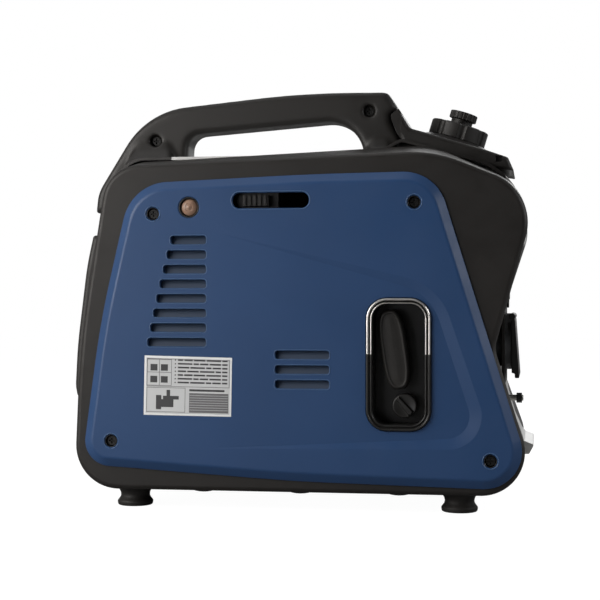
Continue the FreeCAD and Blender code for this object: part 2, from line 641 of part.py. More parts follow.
def starter_cup():
    """Recess behind the window, its two-tone rim, the pull grip, the rope and the valve knob."""
    outer, inner = starter_outline(), starter_outline(RIM + 0.5)
    flange = prism(outer, "XZ", -RIM_BACK, -SHELL_FACE)
    flange = flange.cut(prism(inner, "XZ", -RIM_BACK - 1, -SHELL_FACE + 1))
    wall = prism(starter_outline(RIM - 2), "XZ", -SHELL_FACE, -CUP_BACK).cut(
        prism(inner, "XZ", -SHELL_FACE - 1, -CUP_BACK - 2.5))
    eyelet = cyl(GRIP_CENTRE[0], -CUP_BACK - 7, ROPE_Z, (0, 1, 0), 7.5, 6)
    rope_hole = cyl(GRIP_CENTRE[0], -COVER_FACE, ROPE_Z, (0, 1, 0), ROPE_D / 2 + 0.6, 60)
    stem_hole = cyl(KNOB[0], -COVER_FACE, KNOB[1], (0, 1, 0), KNOB_STEM_R + 0.08, 60)
    keep("starter_recess", cut(fuse(flange, wall, eyelet), rope_hole, stem_hole))

    ring = prism(outer, "XZ", -RIM_FACE, -RIM_BACK).cut(prism(inner, "XZ", -RIM_FACE - 1, -RIM_BACK + 1))
    ring = soften(ring, 1.6, "y", -RIM_FACE)
    split = 0.5 * (STARTER[2] + STARTER[3]) + 9.5
    x0, x1 = STARTER[0] - 5, STARTER[1] + 5
    keep("recess_trim_chrome", ring.common(box(x0, x1, -130, -100, split + 0.1, 220)))
    keep("recess_trim_black", ring.common(box(x0, x1, -130, -100, 60, split - 0.1)))

    gx, gz = GRIP_CENTRE
    half_l, half_w = GRIP[0] / 2, GRIP[1] / 2
    end_w = half_w - 3.4
    end_r = end_w - 0.4
    oval = [(gx - end_w, gz - half_l, end_r), (gx + end_w, gz - half_l, end_r), (gx + half_w, gz, 150),
            (gx + end_w, gz + half_l, end_r), (gx - end_w, gz + half_l, end_r), (gx - half_w, gz, 150)]
    grip = rounded_slab(oval, -GRIP_FACE, -GRIP_BACK, 4.0)
    grip = grip.fuse(prism(grown(oval, -5), "XZ", -GRIP_BACK, -GRIP_BACK + 3.2))
    grip.rotate(V(gx, 0, gz), V(0, 1, 0), -GRIP_LEAN)
    rope_seat = cyl(gx, -GRIP_BACK - 10, ROPE_Z, (0, 1, 0), ROPE_D / 2 + 0.3, 20)
    keep("starter_grip", cut(grip.removeSplitter(), rope_seat))
    keep("starter_rope", cyl(gx, -GRIP_BACK - 10, ROPE_Z, (0, 1, 0), ROPE_D / 2, GRIP_BACK + 10 - 6))

    x, z = KNOB
    knob = soften(cyl(x, -KNOB_FACE, z, (0, 1, 0), KNOB_R, 10), 1.5, "y", -KNOB_FACE)
    ridge = box(x - 1.5, x + 1.5, -KNOB_FACE - 2.4, -KNOB_FACE + 1, z - KNOB_R + 1, z + KNOB_R - 1)
    ridge.rotate(V(x, 0, z), V(0, 1, 0), -37)
    stem = cyl(x, -KNOB_FACE + 9, z, (0, 1, 0), KNOB_STEM_R, 26)
    keep("fuel_valve_knob", fuse(knob, ridge, stem))


def choke_and_primer():
    """Choke slide seen through its slot, and the soft primer bulb."""
    x0, x1 = CHOKE_TAB
    z0, z1 = CHOKE_SLOT[2] + 2.4, CHOKE_SLOT[3] - 2.4
    tab = box(x0, x1, -COVER_FACE + 3.5, -105, z0, z1)
    ribs = [box(x, x + 2.2, -COVER_FACE + 1.6, -COVER_FACE + 4, z0, z1)
            for x in range(int(x0) + 1, int(x1) - 2, 5)]
    plate = box(x0 - 8, x1 + 8, -105, -102, z0 - 9, z1 + 9)
    rod = box(x0 + 9, x0 + 13, -105, -102, CARB_Z[1] + 8, z0)
    keep("choke_lever", fuse(tab, plate, rod, *ribs))
    x, z = PRIMER
    bulb = cyl(x, -SHELL_FACE - 5, z, (0, 1, 0), PRIMER_R, 9)
    dome = Part.makeSphere(12.5, V(x, -SHELL_FACE + 4.2, z))
    dome = dome.common(cyl(x, -COVER_FACE - 2, z, (0, 1, 0), PRIMER_R, 6))
    button = cyl(x, -COVER_FACE - 1.1, z, (0, 1, 0), 2.6, 4)
    keep("primer_bulb", fuse(bulb, dome, button))


# ---------------------------------------------------------------- control panel
def panel_plate():
    y0, y1 = -CENTRE_HALF, CENTRE_HALF
    plate = box(PANEL_X - 3, PANEL_X, y0, y1, *PANEL_Z)
    holes = [cyl(PANEL_X - 10, y, SOCKET_Z, (1, 0, 0), SOCKET_R - 2.6, 20) for y in SOCKETS_Y]
    holes += [box(PANEL_X - 10, PANEL_X + 1, y - SWITCH[0] / 2 + 1.2, y + SWITCH[0] / 2 - 1.2,
                  SWITCH_Z - SWITCH[1] / 2 + 1.2, SWITCH_Z + SWITCH[1] / 2 - 1.2) for y in SWITCHES_Y]
    holes += [cyl(PANEL_X - 10, y, SWITCH_Z, (1, 0, 0), LAMP_R - 1, 20) for y in LAMPS_Y]
    holes.append(cyl(PANEL_X - 10, DC_SOCKET_Y, LOW_Z, (1, 0, 0), 11.2, 20))
    holes.append(cyl(PANEL_X - 10, BREAKER_Y, LOW_Z, (1, 0, 0), BREAKER_R + 0.4, 20))
    keep("control_panel", cut(plate, *holes))


def panel_fittings():
    """Sockets with flaps, rocker switches, lamps, breaker button and the earth terminal."""
    x = PANEL_X
    sockets = []
    for y in SOCKETS_Y:
        rim = cyl(x, y, SOCKET_Z, (1, 0, 0), SOCKET_R, SOCKET_RIM)
        body = cyl(x - 24, y, SOCKET_Z, (1, 0, 0), SOCKET_R - 3, 24)
        lugs = [box(x, x + SOCKET_RIM, y + s * 17 - 2.4, y + s * 17 + 2.4, LID_PIN[1] - 6, LID_PIN[1] + 2.4)
                for s in (-1, 1)]
        lugs += [cyl(LID_PIN[0], y + s * 17 - 2.4, LID_PIN[1], (0, 1, 0), 2.4, 4.8) for s in (-1, 1)]
        lugs += [box(x, x + 2.6, y + s * 17 - 2.4, y + s * 17 + 2.4, SOCKET_Z + 8, LID_PIN[1] - 5)
                 for s in (-1, 1)]
        well = cyl(x - 15, y, SOCKET_Z, (1, 0, 0), SOCKET_WELL_R, 30)
        pins = [cyl(x - 22, y + s * 9.5, SOCKET_Z, (1, 0, 0), 2.45, 10) for s in (-1, 1)]
        bore = cyl(LID_PIN[0], y - 30, LID_PIN[1], (0, 1, 0), 1.3, 60)
        sockets.append(cut(fuse(rim, body, *lugs), well, bore, *pins))
    keep("ac_sockets", *sockets)
    for name, y in zip(("socket_lid_near", "socket_lid_far"), SOCKETS_Y):
        lid = prism(LID, "XZ", y - LID_HALF, y + LID_HALF)
        barrel = cyl(LID_PIN[0], y - LID_HALF, LID_PIN[1], (0, 1, 0), LID_BARREL, 2 * LID_HALF)
        gaps = [cyl(LID_PIN[0], y + s * 17 - 2.9, LID_PIN[1], (0, 1, 0), LID_BARREL + 0.1, 5.8)
                for s in (-1, 1)]
        pin = cyl(LID_PIN[0], y - 22, LID_PIN[1], (0, 1, 0), 1.2, 44)
        keep(name, fuse(cut(fuse(lid, barrel), *gaps), pin))

    for name, y in zip(("engine_switch", "eco_switch"), SWITCHES_Y):
        keep(name, rocker(y))
    lamps = []
    for y in LAMPS_Y:
        lens = cyl(x, y, SWITCH_Z, (1, 0, 0), LAMP_R, 1.6)
        lamps.append(fuse(lens, cyl(x - 8, y, SWITCH_Z, (1, 0, 0), LAMP_R - 1.05, 9)))
    keep("indicator_lamps", *lamps)
    cup = fuse(cyl(x, DC_SOCKET_Y, LOW_Z, (1, 0, 0), 14, 2.4),
               cyl(x - 22, DC_SOCKET_Y, LOW_Z, (1, 0, 0), 11.15, 23))
    keep("dc_socket", cup.cut(cyl(x - 18, DC_SOCKET_Y, LOW_Z, (1, 0, 0), DC_BORE_R, 30)))
    cap = soften(cyl(x - 8, BREAKER_Y, LOW_Z, (1, 0, 0), BREAKER_R, 12), 0.8, "x", x + 4)
    keep("dc_breaker_button", cap)

    y, z = GROUND
    gx = GROUND_SEAT
    stud = fuse(cyl(gx - 9, y, z, (1, 0, 0), 3.0, GROUND_END - gx + 9), cyl(gx, y, z, (1, 0, 0), 5.2, 1.4))
    keep("ground_stud", stud)
    nut = cyl(GROUND_END - 6.8, y, z, (1, 0, 0), 5.0, 5.4)
    notches = []
    for i in range(12):
        a = math.radians(i * 30)
        notches.append(cyl(GROUND_END - 8, y + 5.5 * math.cos(a), z + 5.5 * math.sin(a), (1, 0, 0), 0.9, 8))
    keep("ground_nut", cut(nut, *notches, cyl(gx, y, z, (1, 0, 0), 3.08, 30)))


def rocker(y):
    """Rocker switch: a vee-faced button that turns on its own pin, in the plate's window."""
    x = PANEL_X
    half_y, half_z = SWITCH[0] / 2 - 1.6, SWITCH[1] / 2 - 3.0
    face = [(x - 5, SWITCH_Z - half_z, 0.6), (x + 3.4, SWITCH_Z - half_z, 0.8), (x + 0.9, SWITCH_Z, 3),
            (x + 1.6, SWITCH_Z + half_z, 0.8), (x - 5, SWITCH_Z + half_z, 0.6)]
    return prism(face, "XZ", y - half_y, y + half_y)


# ---------------------------------------------------------------- engine and generator
def engine():
    z = CRANK_Z
    case = soften(prism(rect(-46, 46, z - 50, z + 46, 16), "YZ", CASE_X[0], CASE_X[1]), 4, "x", CASE_X[0])
    bore_in = prism(rect(-40, 40, z - 44, z + 40, 14), "YZ", CASE_X[0] + 6, CASE_X[1] - 6)
    feet = [box(x, x + 18, s * 34 - 9, s * 34 + 9, MOUNT_TOP, z - 49) for x in (CASE_X[0] + 2, CASE_X[1] - 20)
            for s in (-1, 1)]
    nose = cyl(CASE_X[1] - 1, 0, z, (1, 0, 0), 30, 11)
    case = cut(fuse(case, nose, *feet), bore_in, cyl(CASE_X[0] - 1, 0, z, (1, 0, 0), SHAFT_R + 0.05, 130),
               cyl(CYL_X, 0, z + 20, (0, 0, 1), BORE_R, 60), cyl(DIP_X, 60, DIP_Z, (0, -1, 0), 3.6, 30))
    keep("crankcase", case)
    mounts = [cyl(x + 9, s * 34, FLOOR_GAP + WALL, (0, 0, 1), 11, MOUNT_TOP - FLOOR_GAP - WALL)
              for x in (CASE_X[0] + 2, CASE_X[1] - 20) for s in (-1, 1)]
    keep("engine_mounts", *mounts)

    barrel = cyl(CYL_X, 0, z + 46, (0, 0, 1), 30, HEAD_Z - z - 46)
    fins = [prism(rect(CYL_X - 38, CYL_X + 38, -38, 38, 14), "XY", z + 49 + i * 7, z + 51.2 + i * 7)
            for i in range(6)]
    keep("cylinder", cut(fuse(barrel, *fins), cyl(CYL_X, 0, z + 40, (0, 0, 1), BORE_R, 60)))
    head = prism(rect(CYL_X - 32, CYL_X + 32, -30, 30, 10), "XY", HEAD_Z, HEAD_Z + 18)
    fins = [prism(rect(CYL_X - 38, CYL_X + 38, -38, 38, 12), "XY", HEAD_Z + i * 6, HEAD_Z + 2 + i * 6)
            for i in range(3)]
    rockers = prism(rect(CYL_X - 30, CYL_X + 30, -28, 28, 9), "XY", HEAD_Z + 18, HEAD_Z + 38)
    rockers = soften(rockers, 5, "z", HEAD_Z + 38)
    intake = cyl(CYL_X, -29, PORT_Z, (0, -1, 0), PORT_R, CARB_FACE - 29)
    exhaust = cyl(CYL_X - 30, 0, PORT_Z, (-1, 0, 0), PORT_R, CYL_X - 30 - MUFFLER_X[1])
    head = cut(fuse(head, *fins, rockers, intake, exhaust), cyl(CYL_X, 60, PORT_Z, (0, -1, 0), 5.05, 42))
    keep("cylinder_head", head)
    plug = fuse(cyl(CYL_X, 20, PORT_Z, (0, 1, 0), 5, 22), cyl(CYL_X, 39, PORT_Z, (0, 1, 0), 9, 7),
                cyl(CYL_X, 46, PORT_Z, (0, 1, 0), 5.5, 16))
    keep("spark_plug", plug)
    boot = fuse(cyl(CYL_X, 52, PORT_Z, (0, 1, 0), 9.5, 34), cyl(CYL_X, 78, PORT_Z, (1, 0, 0), 6, 26))
    keep("plug_cap", boot.cut(cyl(CYL_X, 50, PORT_Z, (0, 1, 0), 5.55, 12.2)))

    webs = [fuse(cyl(x, 0, z, (1, 0, 0), 22, 7), box(x, x + 7, -14, 14, z - 34, z))
            for x in (CYL_X - 13, CYL_X + 6)]
    pin = cyl(CYL_X - 7, 0, z + THROW, (1, 0, 0), 8, 14)
    shaft = [cyl(CASE_X[0] - 6, 0, z, (1, 0, 0), SHAFT_R, CYL_X - 12 - CASE_X[0] + 6),
             cyl(CYL_X + 12, 0, z, (1, 0, 0), SHAFT_R, SHAFT_END - CYL_X - 12)]
    keep("crankshaft", fuse(pin, *webs, *shaft))
    top = z + THROW + ROD
    rod = fuse(cyl(CYL_X - 5.5, 0, z + THROW, (1, 0, 0), 13, 11),
               cyl(CYL_X - 5.5, 0, top, (1, 0, 0), 8.0, 11),
               box(CYL_X - 3, CYL_X + 3, -6, 6, z + THROW, top))
    keep("connecting_rod", cut(rod, cyl(CYL_X - 9, 0, z + THROW, (1, 0, 0), 8.05, 18),
                               cyl(CYL_X - 9, 0, top, (1, 0, 0), 5.05, 18)))
    piston = cyl(CYL_X, 0, top - 16, (0, 0, 1), BORE_R - 0.1, 27)
    piston = piston.cut(cyl(CYL_X, 0, top - 17, (0, 0, 1), 17, 25.3))
    gudgeon = cyl(CYL_X - 18, 0, top, (1, 0, 0), 5, 36)
    rings = []
    for h in (top + 3, top + 7):
        rings.append(cyl(CYL_X, 0, h, (0, 0, 1), 30, 1.2).cut(cyl(CYL_X, 0, h - 1, (0, 0, 1), BORE_R - 1, 4)))
    keep("piston", cut(fuse(piston, gudgeon), *rings))
    cap = soften(cyl(DIP_X, 46.4, DIP_Z, (0, 1, 0), 11, 12), 2, "y", 58.4)
    keep("dipstick", fuse(cap, cyl(DIP_X, 46.5, DIP_Z, (0, -1, 0), 3.3, 30)))
    coil = box(10, 30, 46, 60, 134, 158)
    lead = pipe([V(20, 53, 158), V(20, 53, 196), V(20, 78, 196), V(20, 78, PORT_Z - 6.2)], 2.5, 8)
    keep("ignition_coil", coil, lead)


def generator():
    """Stator, spinning bell with its fan, and the recoil starter ahead of it."""
    z = CRANK_Z
    stator = cyl(46, 0, z, (1, 0, 0), 43.5, 16).cut(cyl(45, 0, z, (1, 0, 0), 20, 20))
    slots = []
    for i in range(12):
        slot = box(45, 63, -2.4, 2.4, 27, 50)
        slot.rotate(V(0, 0, 0), V(1, 0, 0), i * 30 + 15)
        slots.append(slot.translated(V(0, 0, z)))
    keep("stator", cut(stator, *slots))
    bell = cyl(44, 0, z, (1, 0, 0), 52, 26).cut(cyl(43, 0, z, (1, 0, 0), 45, 22.5))
    bell = fuse(bell, cyl(48, 0, z, (1, 0, 0), 16, 18))
    keep("rotor", bell.cut(cyl(40, 0, z, (1, 0, 0), SHAFT_R + 0.08, 60)))
    fan = cyl(70, 0, z, (1, 0, 0), 55, 2)
    blades = []
    for i in range(10):
        blade = box(71.5, 83, -1.2, 1.2, 28, 54)
        blade.rotate(V(0, 0, 40), V(1, 0, 0), 25)
        blade.rotate(V(0, 0, 0), V(1, 0, 0), i * 36)
        blades.append(blade.translated(V(0, 0, z)))
    cup = cyl(72, 0, z, (1, 0, 0), 22, 11).cut(cyl(73, 0, z, (1, 0, 0), 19, 12))
    keep("cooling_fan", cut(fuse(fan, cup, *blades), cyl(60, 0, z, (1, 0, 0), SHAFT_R + 0.08, 40)))

    groove = ROPE_R - ROPE_D / 2 - 4
    sheave = cyl(PULLEY_X - 5.5, 0, z, (1, 0, 0), ROPE_R + 3, 11)
    channel = cyl(PULLEY_X - 2.8, 0, z, (1, 0, 0), 60, 5.6).cut(cyl(80, 0, z, (1, 0, 0), groove, 30))
    keep("starter_pulley", cut(sheave, channel, cyl(80, 0, z, (1, 0, 0), 6.08, 30)))
    wall = cyl(46, 0, z, (1, 0, 0), HOUSING_R, 60).cut(cyl(44, 0, z, (1, 0, 0), HOUSING_R - 2.5, 59.5))
    spindle = cyl(PULLEY_X - 6.5, 0, z, (1, 0, 0), 6, 103.5 - PULLEY_X + 6.5)
    vents = []
    for i in range(12):
        vent = box(100, 110, -3, 3, 20, 48)
        vent.rotate(V(0, 0, 0), V(1, 0, 0), i * 30)
        vents.append(vent.translated(V(0, 0, z)))
    ports = [box(40, 62, -90, 90, z + 10, z + 90), cyl(PULLEY_X, -90, ROPE_Z, (0, 1, 0), 5, 60)]
    keep("recoil_housing", cut(fuse(wall, spindle), *vents, *ports))


def auxiliaries():
    carb = fuse(box(CARB_X - 17, CARB_X + 17, -88, -CARB_FACE, PORT_Z - 12, PORT_Z + 12),
                cyl(CARB_X, -66, CARB_Z[0], (0, 0, 1), 15, 14),
                cyl(CARB_X, -66, PORT_Z, (0, 0, 1), 11, CARB_Z[1] - PORT_Z))
    keep("carburettor", carb.cut(cyl(CARB_X, -80, PORT_Z, (0, 1, 0), 7, 60)))
    x0, x1, y0, y1, z0, z1 = CLEANER
    case = prism(rect(x0, x1, y0, y1, 10), "XY", z0, z1)
    inside = prism(rect(x0 + 2.5, x1 - 2.5, y0 + 2.5, y1 - 2.5, 8), "XY", z0 + 2.5, z1 - 2.5)
    case = soften(case, 4, "z", z1).cut(inside)
    duct = pipe([V(x1 - 1, -66, z0 + 12), V(CARB_X, -66, z0 + 12), V(CARB_X, -66, CARB_Z[1])], 10, 14)
    vent = [box(x0 - 1, x0 + 4, y0 + 12, y1 - 12, z0 + 10 + i * 10, z0 + 15 + i * 10) for i in range(4)]
    keep("air_cleaner", cut(fuse(case, duct), *vent))

    m0, m1 = MUFFLER_X
    can = prism(rect(-52, 52, 140, 246, 22), "YZ", m0, m1)
    can = can.makeFillet(5, edges_on(can, "x", m0) + edges_on(can, "x", m1))
    inside = prism(rect(-50, 50, 142, 244, 20), "YZ", m0 + 2, m1 - 2)
    tail = cyl(m0 + 1, OUTLET[0], OUTLET[1], (-1, 0, 0), OUTLET_R, m0 + 1 + OUTLET_END)
    bore = cyl(m0 + 5, OUTLET[0], OUTLET[1], (-1, 0, 0), OUTLET_R - 2, 60)
    keep("muffler", cut(fuse(can.cut(inside), tail), bore))

    x0, x1 = INVERTER_X
    block = box(x0, x1, -56, 56, FLOOR_GAP + WALL, 98)
    grooves = [box(x0 - 1, x0 + 12, -52 + i * 9, -46.5 + i * 9, 20, 100) for i in range(12)]
    keep("inverter_module", cut(block, *grooves))


def rear_guard():
    """Louvred guard over the silencer's outlet, on the rear of the housing."""
    body = rounded_slab(GUARD, -GUARD_HALF, 0, 5.0)
    body = fuse(body, other_side(body))
    body = body.cut(prism(SIDE_IN, "XZ", -GUARD_HALF - 1, GUARD_HALF + 1))
    louvres = []
    for i in range(9):
        z = 124 + i * 13
        louvres.append(box(-240, -200, -64, -20, z, z + 6))
        if i < 5:       # the outlet sits above these on the other half
            louvres.append(box(-240, -200, 20, 64, z, z + 6))
    hole = cyl(-240, OUTLET[0], OUTLET[1], (1, 0, 0), OUTLET_R + 3, 60)
    keep("rear_guard", cut(body, *louvres, hole))


def rubber_feet():
    """Flanged feet, hollow underneath round their screws, with a waist and a wide seat."""
    feet = []
    for x, y in FEET:
        profile = [(0, 0, 0), (17.2, 0, 2.2), (17.9, 4.4, 2), (14.3, 9, 5), (14.6, 13, 8),
                   (18, FLOOR_GAP, 0), (0, FLOOR_GAP, 0)]
        ring = Part.Face(outline(profile, "XZ", 0)).revolve(V(0, 0, 0), V(0, 0, 1), 360)
        ring = cut(ring, cyl(0, 0, -1, (0, 0, 1), 6.5, 9))
        feet.append(ring.translated(V(x, y, 0)))
    keep("rubber_feet", *feet)


# ---------------------------------------------------------------- build and export
def main():
    starter_side()
    service_side()
    centre_panels()
    rear_guard()
    handle()
    housing_screws()
    tank_cover()
    fuel_system()
    starter_cup()
    choke_and_primer()
    panel_plate()
    panel_fittings()
    engine()
    generator()
    auxiliaries()
    rubber_feet()
    for name, shape in PARTS.items():
        bad = [s for s in shape.Solids if not s.isValid() or s.Volume <= 0]
        note = "BAD" if bad else ""
        print(f"{name:24s} solids {len(shape.Solids):2d}  volume {shape.Volume / 1000:8.1f} cm3 {note}")
        shape.exportStep(f"parts/{name}.step")
    print(len(PARTS), "nodes")


os.makedirs("parts", exist_ok=True)
main()
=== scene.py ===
import json
import math
import bmesh
import bpy
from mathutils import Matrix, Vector
from mathutils.bvhtree import BVHTree


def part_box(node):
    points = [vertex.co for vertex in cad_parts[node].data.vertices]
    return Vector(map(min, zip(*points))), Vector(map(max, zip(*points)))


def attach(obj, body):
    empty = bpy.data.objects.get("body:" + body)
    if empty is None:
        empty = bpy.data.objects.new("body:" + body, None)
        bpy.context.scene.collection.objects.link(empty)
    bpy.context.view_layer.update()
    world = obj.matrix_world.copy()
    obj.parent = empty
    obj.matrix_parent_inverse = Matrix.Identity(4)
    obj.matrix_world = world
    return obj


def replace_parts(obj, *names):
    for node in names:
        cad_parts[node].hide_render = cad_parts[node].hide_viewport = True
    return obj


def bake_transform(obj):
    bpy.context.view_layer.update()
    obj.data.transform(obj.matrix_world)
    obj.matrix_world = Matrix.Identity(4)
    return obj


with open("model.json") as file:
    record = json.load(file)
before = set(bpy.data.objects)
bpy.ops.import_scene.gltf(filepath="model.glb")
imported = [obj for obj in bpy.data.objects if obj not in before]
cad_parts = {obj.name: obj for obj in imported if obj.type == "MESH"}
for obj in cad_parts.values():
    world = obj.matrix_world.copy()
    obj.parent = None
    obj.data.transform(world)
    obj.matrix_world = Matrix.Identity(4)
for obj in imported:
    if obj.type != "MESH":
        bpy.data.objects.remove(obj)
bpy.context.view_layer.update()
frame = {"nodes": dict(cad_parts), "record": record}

# Looks of the portable inverter generator, in metres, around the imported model.
# -Y is the side with the blue cover and the pull starter; +X is the control panel.

MM = 0.001
FACE = -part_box("recoil_side_cover")[0].y          # half the width over the side covers

# Places on the side cover, in millimetres (x, z).
COVER_SCREWS = ((-139, 289), (116, 298), (-181, 67), (188, 53))
SLOT_H = 7.9
SLOT_PITCH = 14.2
SLOT_GROUPS = ((-144.0, -86.0, 267.2, 8), (-18.0, 34.5, 156.2, 3))      # left, right, top edge, how many
SLOT_CORNER = 2.6
REAR_SLOT_START = -121.0        # rear end of the top slot
REAR_SLOT_STEP = 3.8            # each slot below starts this much further back
REAR_SLOT_EASE = 0.075          # and a little less so towards the foot
CHOKE_SLOT = (-60.0, 15.0, 293.6, 308.6)
CHOKE_CORNER = 7.3
SCREW_WELL = 6.2                                                        # radius of the wells over the screws
PLATE = ((-148, 93), (-61, 92), (-147, 151), (-60, 149))                # rating plate: lower pair, upper pair
BLUNT = 0.66           # how blunt the pull grip's ends are; 1 would be an ellipse
# Outside this span the deck is painted black: a painted dark reflection of the handle's feet.
DECK_SILVER = (-135.0, 58.0)                                            # the deck is silver between these
# Heights of the rating plate's layers off the cover.
PLATE_LAYERS = {"border": 0.10, "field": 0.17, "lines": 0.24, "print": 0.26, "rules": 0.36}

# Nodes that look different from the rest of their slot.
SPECIAL_FINISH = {"top_deck": "deck_painted_dark_ends", "housing_screws": "screw_black"}


# ---------------------------------------------------------------- camera, lights, floor
def make_camera():
    """Level camera, nine degrees round to the panel's side, as far off as a long lens needs."""
    azimuth = math.radians(9)
    distance = 1.44
    aim = Vector((0.0065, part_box("recoil_side_cover")[0].y, 0.205))
    data = bpy.data.cameras.new("camera")
    data.lens = 90
    data.sensor_width = 36
    cam = bpy.data.objects.new("camera", data)
    cam.location = aim + distance * Vector((math.sin(azimuth), -math.cos(azimuth), 0))
    cam.rotation_euler = (math.pi / 2, 0, azimuth)
    bpy.context.scene.collection.objects.link(cam)
    bpy.context.scene.camera = cam


def soft_light(name, spot, size, watts, colour=(1, 1, 1), aim=(0, 0, 0.2)):
    """Square soft box at a spot, facing the machine."""
    data = bpy.data.lights.new(name, "AREA")
    data.size = size
    data.energy = watts
    data.color = colour
    lamp = bpy.data.objects.new(name, data)
    lamp.location = spot
    lamp.rotation_euler = (Vector(aim) - Vector(spot)).to_track_quat("-Z", "Y").to_euler()
    bpy.context.scene.collection.objects.link(lamp)


def make_lights():
    """Warm key from the left, weaker lights from above, behind and the panel's side."""
    soft_light("key_left", (-1.10, -0.95, 0.62), 0.95, 20, (1.0, 0.975, 0.94))
    soft_light("top", (-0.35, -0.20, 1.7), 1.2, 4.8)
    soft_light("fill_right", (1.7, -1.0, 0.8), 0.9, 0.9, (0.93, 0.96, 1.0))
    soft_light("back", (0.4, 1.8, 1.2), 1.4, 16)
    soft_light("low_front", (-0.5, -1.5, 0.12), 0.5, 1.5, (0.96, 0.96, 1.0))
    soft_light("edge_right", (1.5, -0.30, 0.80), 0.5, 7.5)


def make_world():
    """White surroundings for the eye; dimmer ones, brightest behind, for the light."""
    bpy.context.scene.view_settings.view_transform = "Standard"
    world = bpy.data.worlds.new("studio")
    bpy.context.scene.world = world
    world.use_nodes = True
    tree = world.node_tree
    tree.nodes.clear()
    out = tree.nodes.new("ShaderNodeOutputWorld")
    seen = tree.nodes.new("ShaderNodeBackground")
    seen.inputs["Color"].default_value = (1, 1, 1, 1)
    seen.inputs["Strength"].default_value = 1.0
    lit = tree.nodes.new("ShaderNodeBackground")
    coords = tree.nodes.new("ShaderNodeTexCoord")
    axes = tree.nodes.new("ShaderNodeSeparateXYZ")
    ramp = tree.nodes.new("ShaderNodeMapRange")
    ramp.inputs["From Min"].default_value = -0.7
    ramp.inputs["From Max"].default_value = 0.9
    ramp.inputs["To Min"].default_value = 0.022
    ramp.inputs["To Max"].default_value = 0.55
    mix = tree.nodes.new("ShaderNodeMixShader")
    path = tree.nodes.new("ShaderNodeLightPath")
    tree.links.new(coords.outputs["Generated"], axes.inputs[0])
    tree.links.new(axes.outputs["Y"], ramp.inputs["Value"])
    tree.links.new(ramp.outputs["Result"], lit.inputs["Strength"])
    tree.links.new(path.outputs["Is Camera Ray"], mix.inputs["Fac"])
    tree.links.new(lit.outputs[0], mix.inputs[1])
    tree.links.new(seen.outputs[0], mix.inputs[2])
    tree.links.new(mix.outputs[0], out.inputs["Surface"])


def floor_paper():
    """Paper that is almost white to the eye and throws little light back up."""
    mat, tree, shader = new_material("floor_paper")
    shader.inputs["Base Color"].default_value = (0.30, 0.30, 0.30, 1)
    shader.inputs["Roughness"].default_value = 0.95
    white = node(tree, "ShaderNodeEmission", {"Strength": 0.975})
    matt = node(tree, "ShaderNodeBsdfDiffuse", {"Color": (0.12, 0.12, 0.12, 1)})
    seen = node(tree, "ShaderNodeAddShader")
    path = node(tree, "ShaderNodeLightPath")
    pick = node(tree, "ShaderNodeMixShader")
    tree.links.new(white.outputs[0], seen.inputs[0])
    tree.links.new(matt.outputs[0], seen.inputs[1])
    tree.links.new(path.outputs["Is Camera Ray"], pick.inputs["Fac"])
    tree.links.new(shader.outputs[0], pick.inputs[1])
    tree.links.new(seen.outputs[0], pick.inputs[2])
    tree.links.new(pick.outputs[0], tree.nodes["Material Output"].inputs["Surface"])
    return mat


def make_floor():
    """Flat floor, wide enough to run out of every view."""
    mesh = bpy.data.meshes.new("floor")
    half = 6.0
    corners = [(-half, -half, 0), (half, -half, 0), (half, half, 0), (-half, half, 0)]
    mesh.from_pydata(corners, [], [(0, 1, 2, 3)])
    floor = bpy.data.objects.new("floor", mesh)
    bpy.context.scene.collection.objects.link(floor)
    mesh.materials.append(floor_paper())


# ---------------------------------------------------------------- materials
def new_material(name):
    """Material with its node tree and its shader."""
    mat = bpy.data.materials.new(name)
    mat.use_nodes = True
    return mat, mat.node_tree, mat.node_tree.nodes["Principled BSDF"]


def node(tree, kind, values=None, **settings):
    """New node with its settings and the values of its sockets."""
    made = tree.nodes.new(kind)
    for key, value in settings.items():
        setattr(made, key, value)
    for key, value in (values or {}).items():
        made.inputs[key].default_value = value
    return made


def noise(tree, coords, scale, detail=2.0, rough=0.5):
    """Cloudy pattern over some coordinates."""
    made = node(tree, "ShaderNodeTexNoise", {"Scale": scale, "Detail": detail, "Roughness": rough})
    tree.links.new(coords, made.inputs["Vector"])
    return made.outputs["Fac"]


def spread(tree, value, low, high, start=0.3, stop=0.7):
    """Maps a value from start..stop to low..high."""
    made = node(tree, "ShaderNodeMapRange",
                {"From Min": start, "From Max": stop, "To Min": low, "To Max": high})
    tree.links.new(value, made.inputs["Value"])
    return made.outputs["Result"]


def blend_colours(tree, factor, colour_a, colour_b):
    """Mix of two colours, each either four numbers or a socket."""
    made = node(tree, "ShaderNodeMix", data_type="RGBA")
    tree.links.new(factor, made.inputs["Factor"])
    for key, colour in ((6, colour_a), (7, colour_b)):
        if hasattr(colour, "links"):
            tree.links.new(colour, made.inputs[key])
        else:
            made.inputs[key].default_value = (*colour[:3], 1)
    return made.outputs[2]


def edge_mask(tree, radius):
    """Bevelled normal, and a mask that is 1 where the surface turns sharply."""
    bevel = node(tree, "ShaderNodeBevel", {"Radius": radius}, samples=4)
    geometry = node(tree, "ShaderNodeNewGeometry")
    dot = node(tree, "ShaderNodeVectorMath", operation="DOT_PRODUCT")
    tree.links.new(bevel.outputs["Normal"], dot.inputs[0])
    tree.links.new(geometry.outputs["Normal"], dot.inputs[1])
    return bevel.outputs["Normal"], spread(tree, dot.outputs["Value"], 1.0, 0.0, 0.80, 0.995)


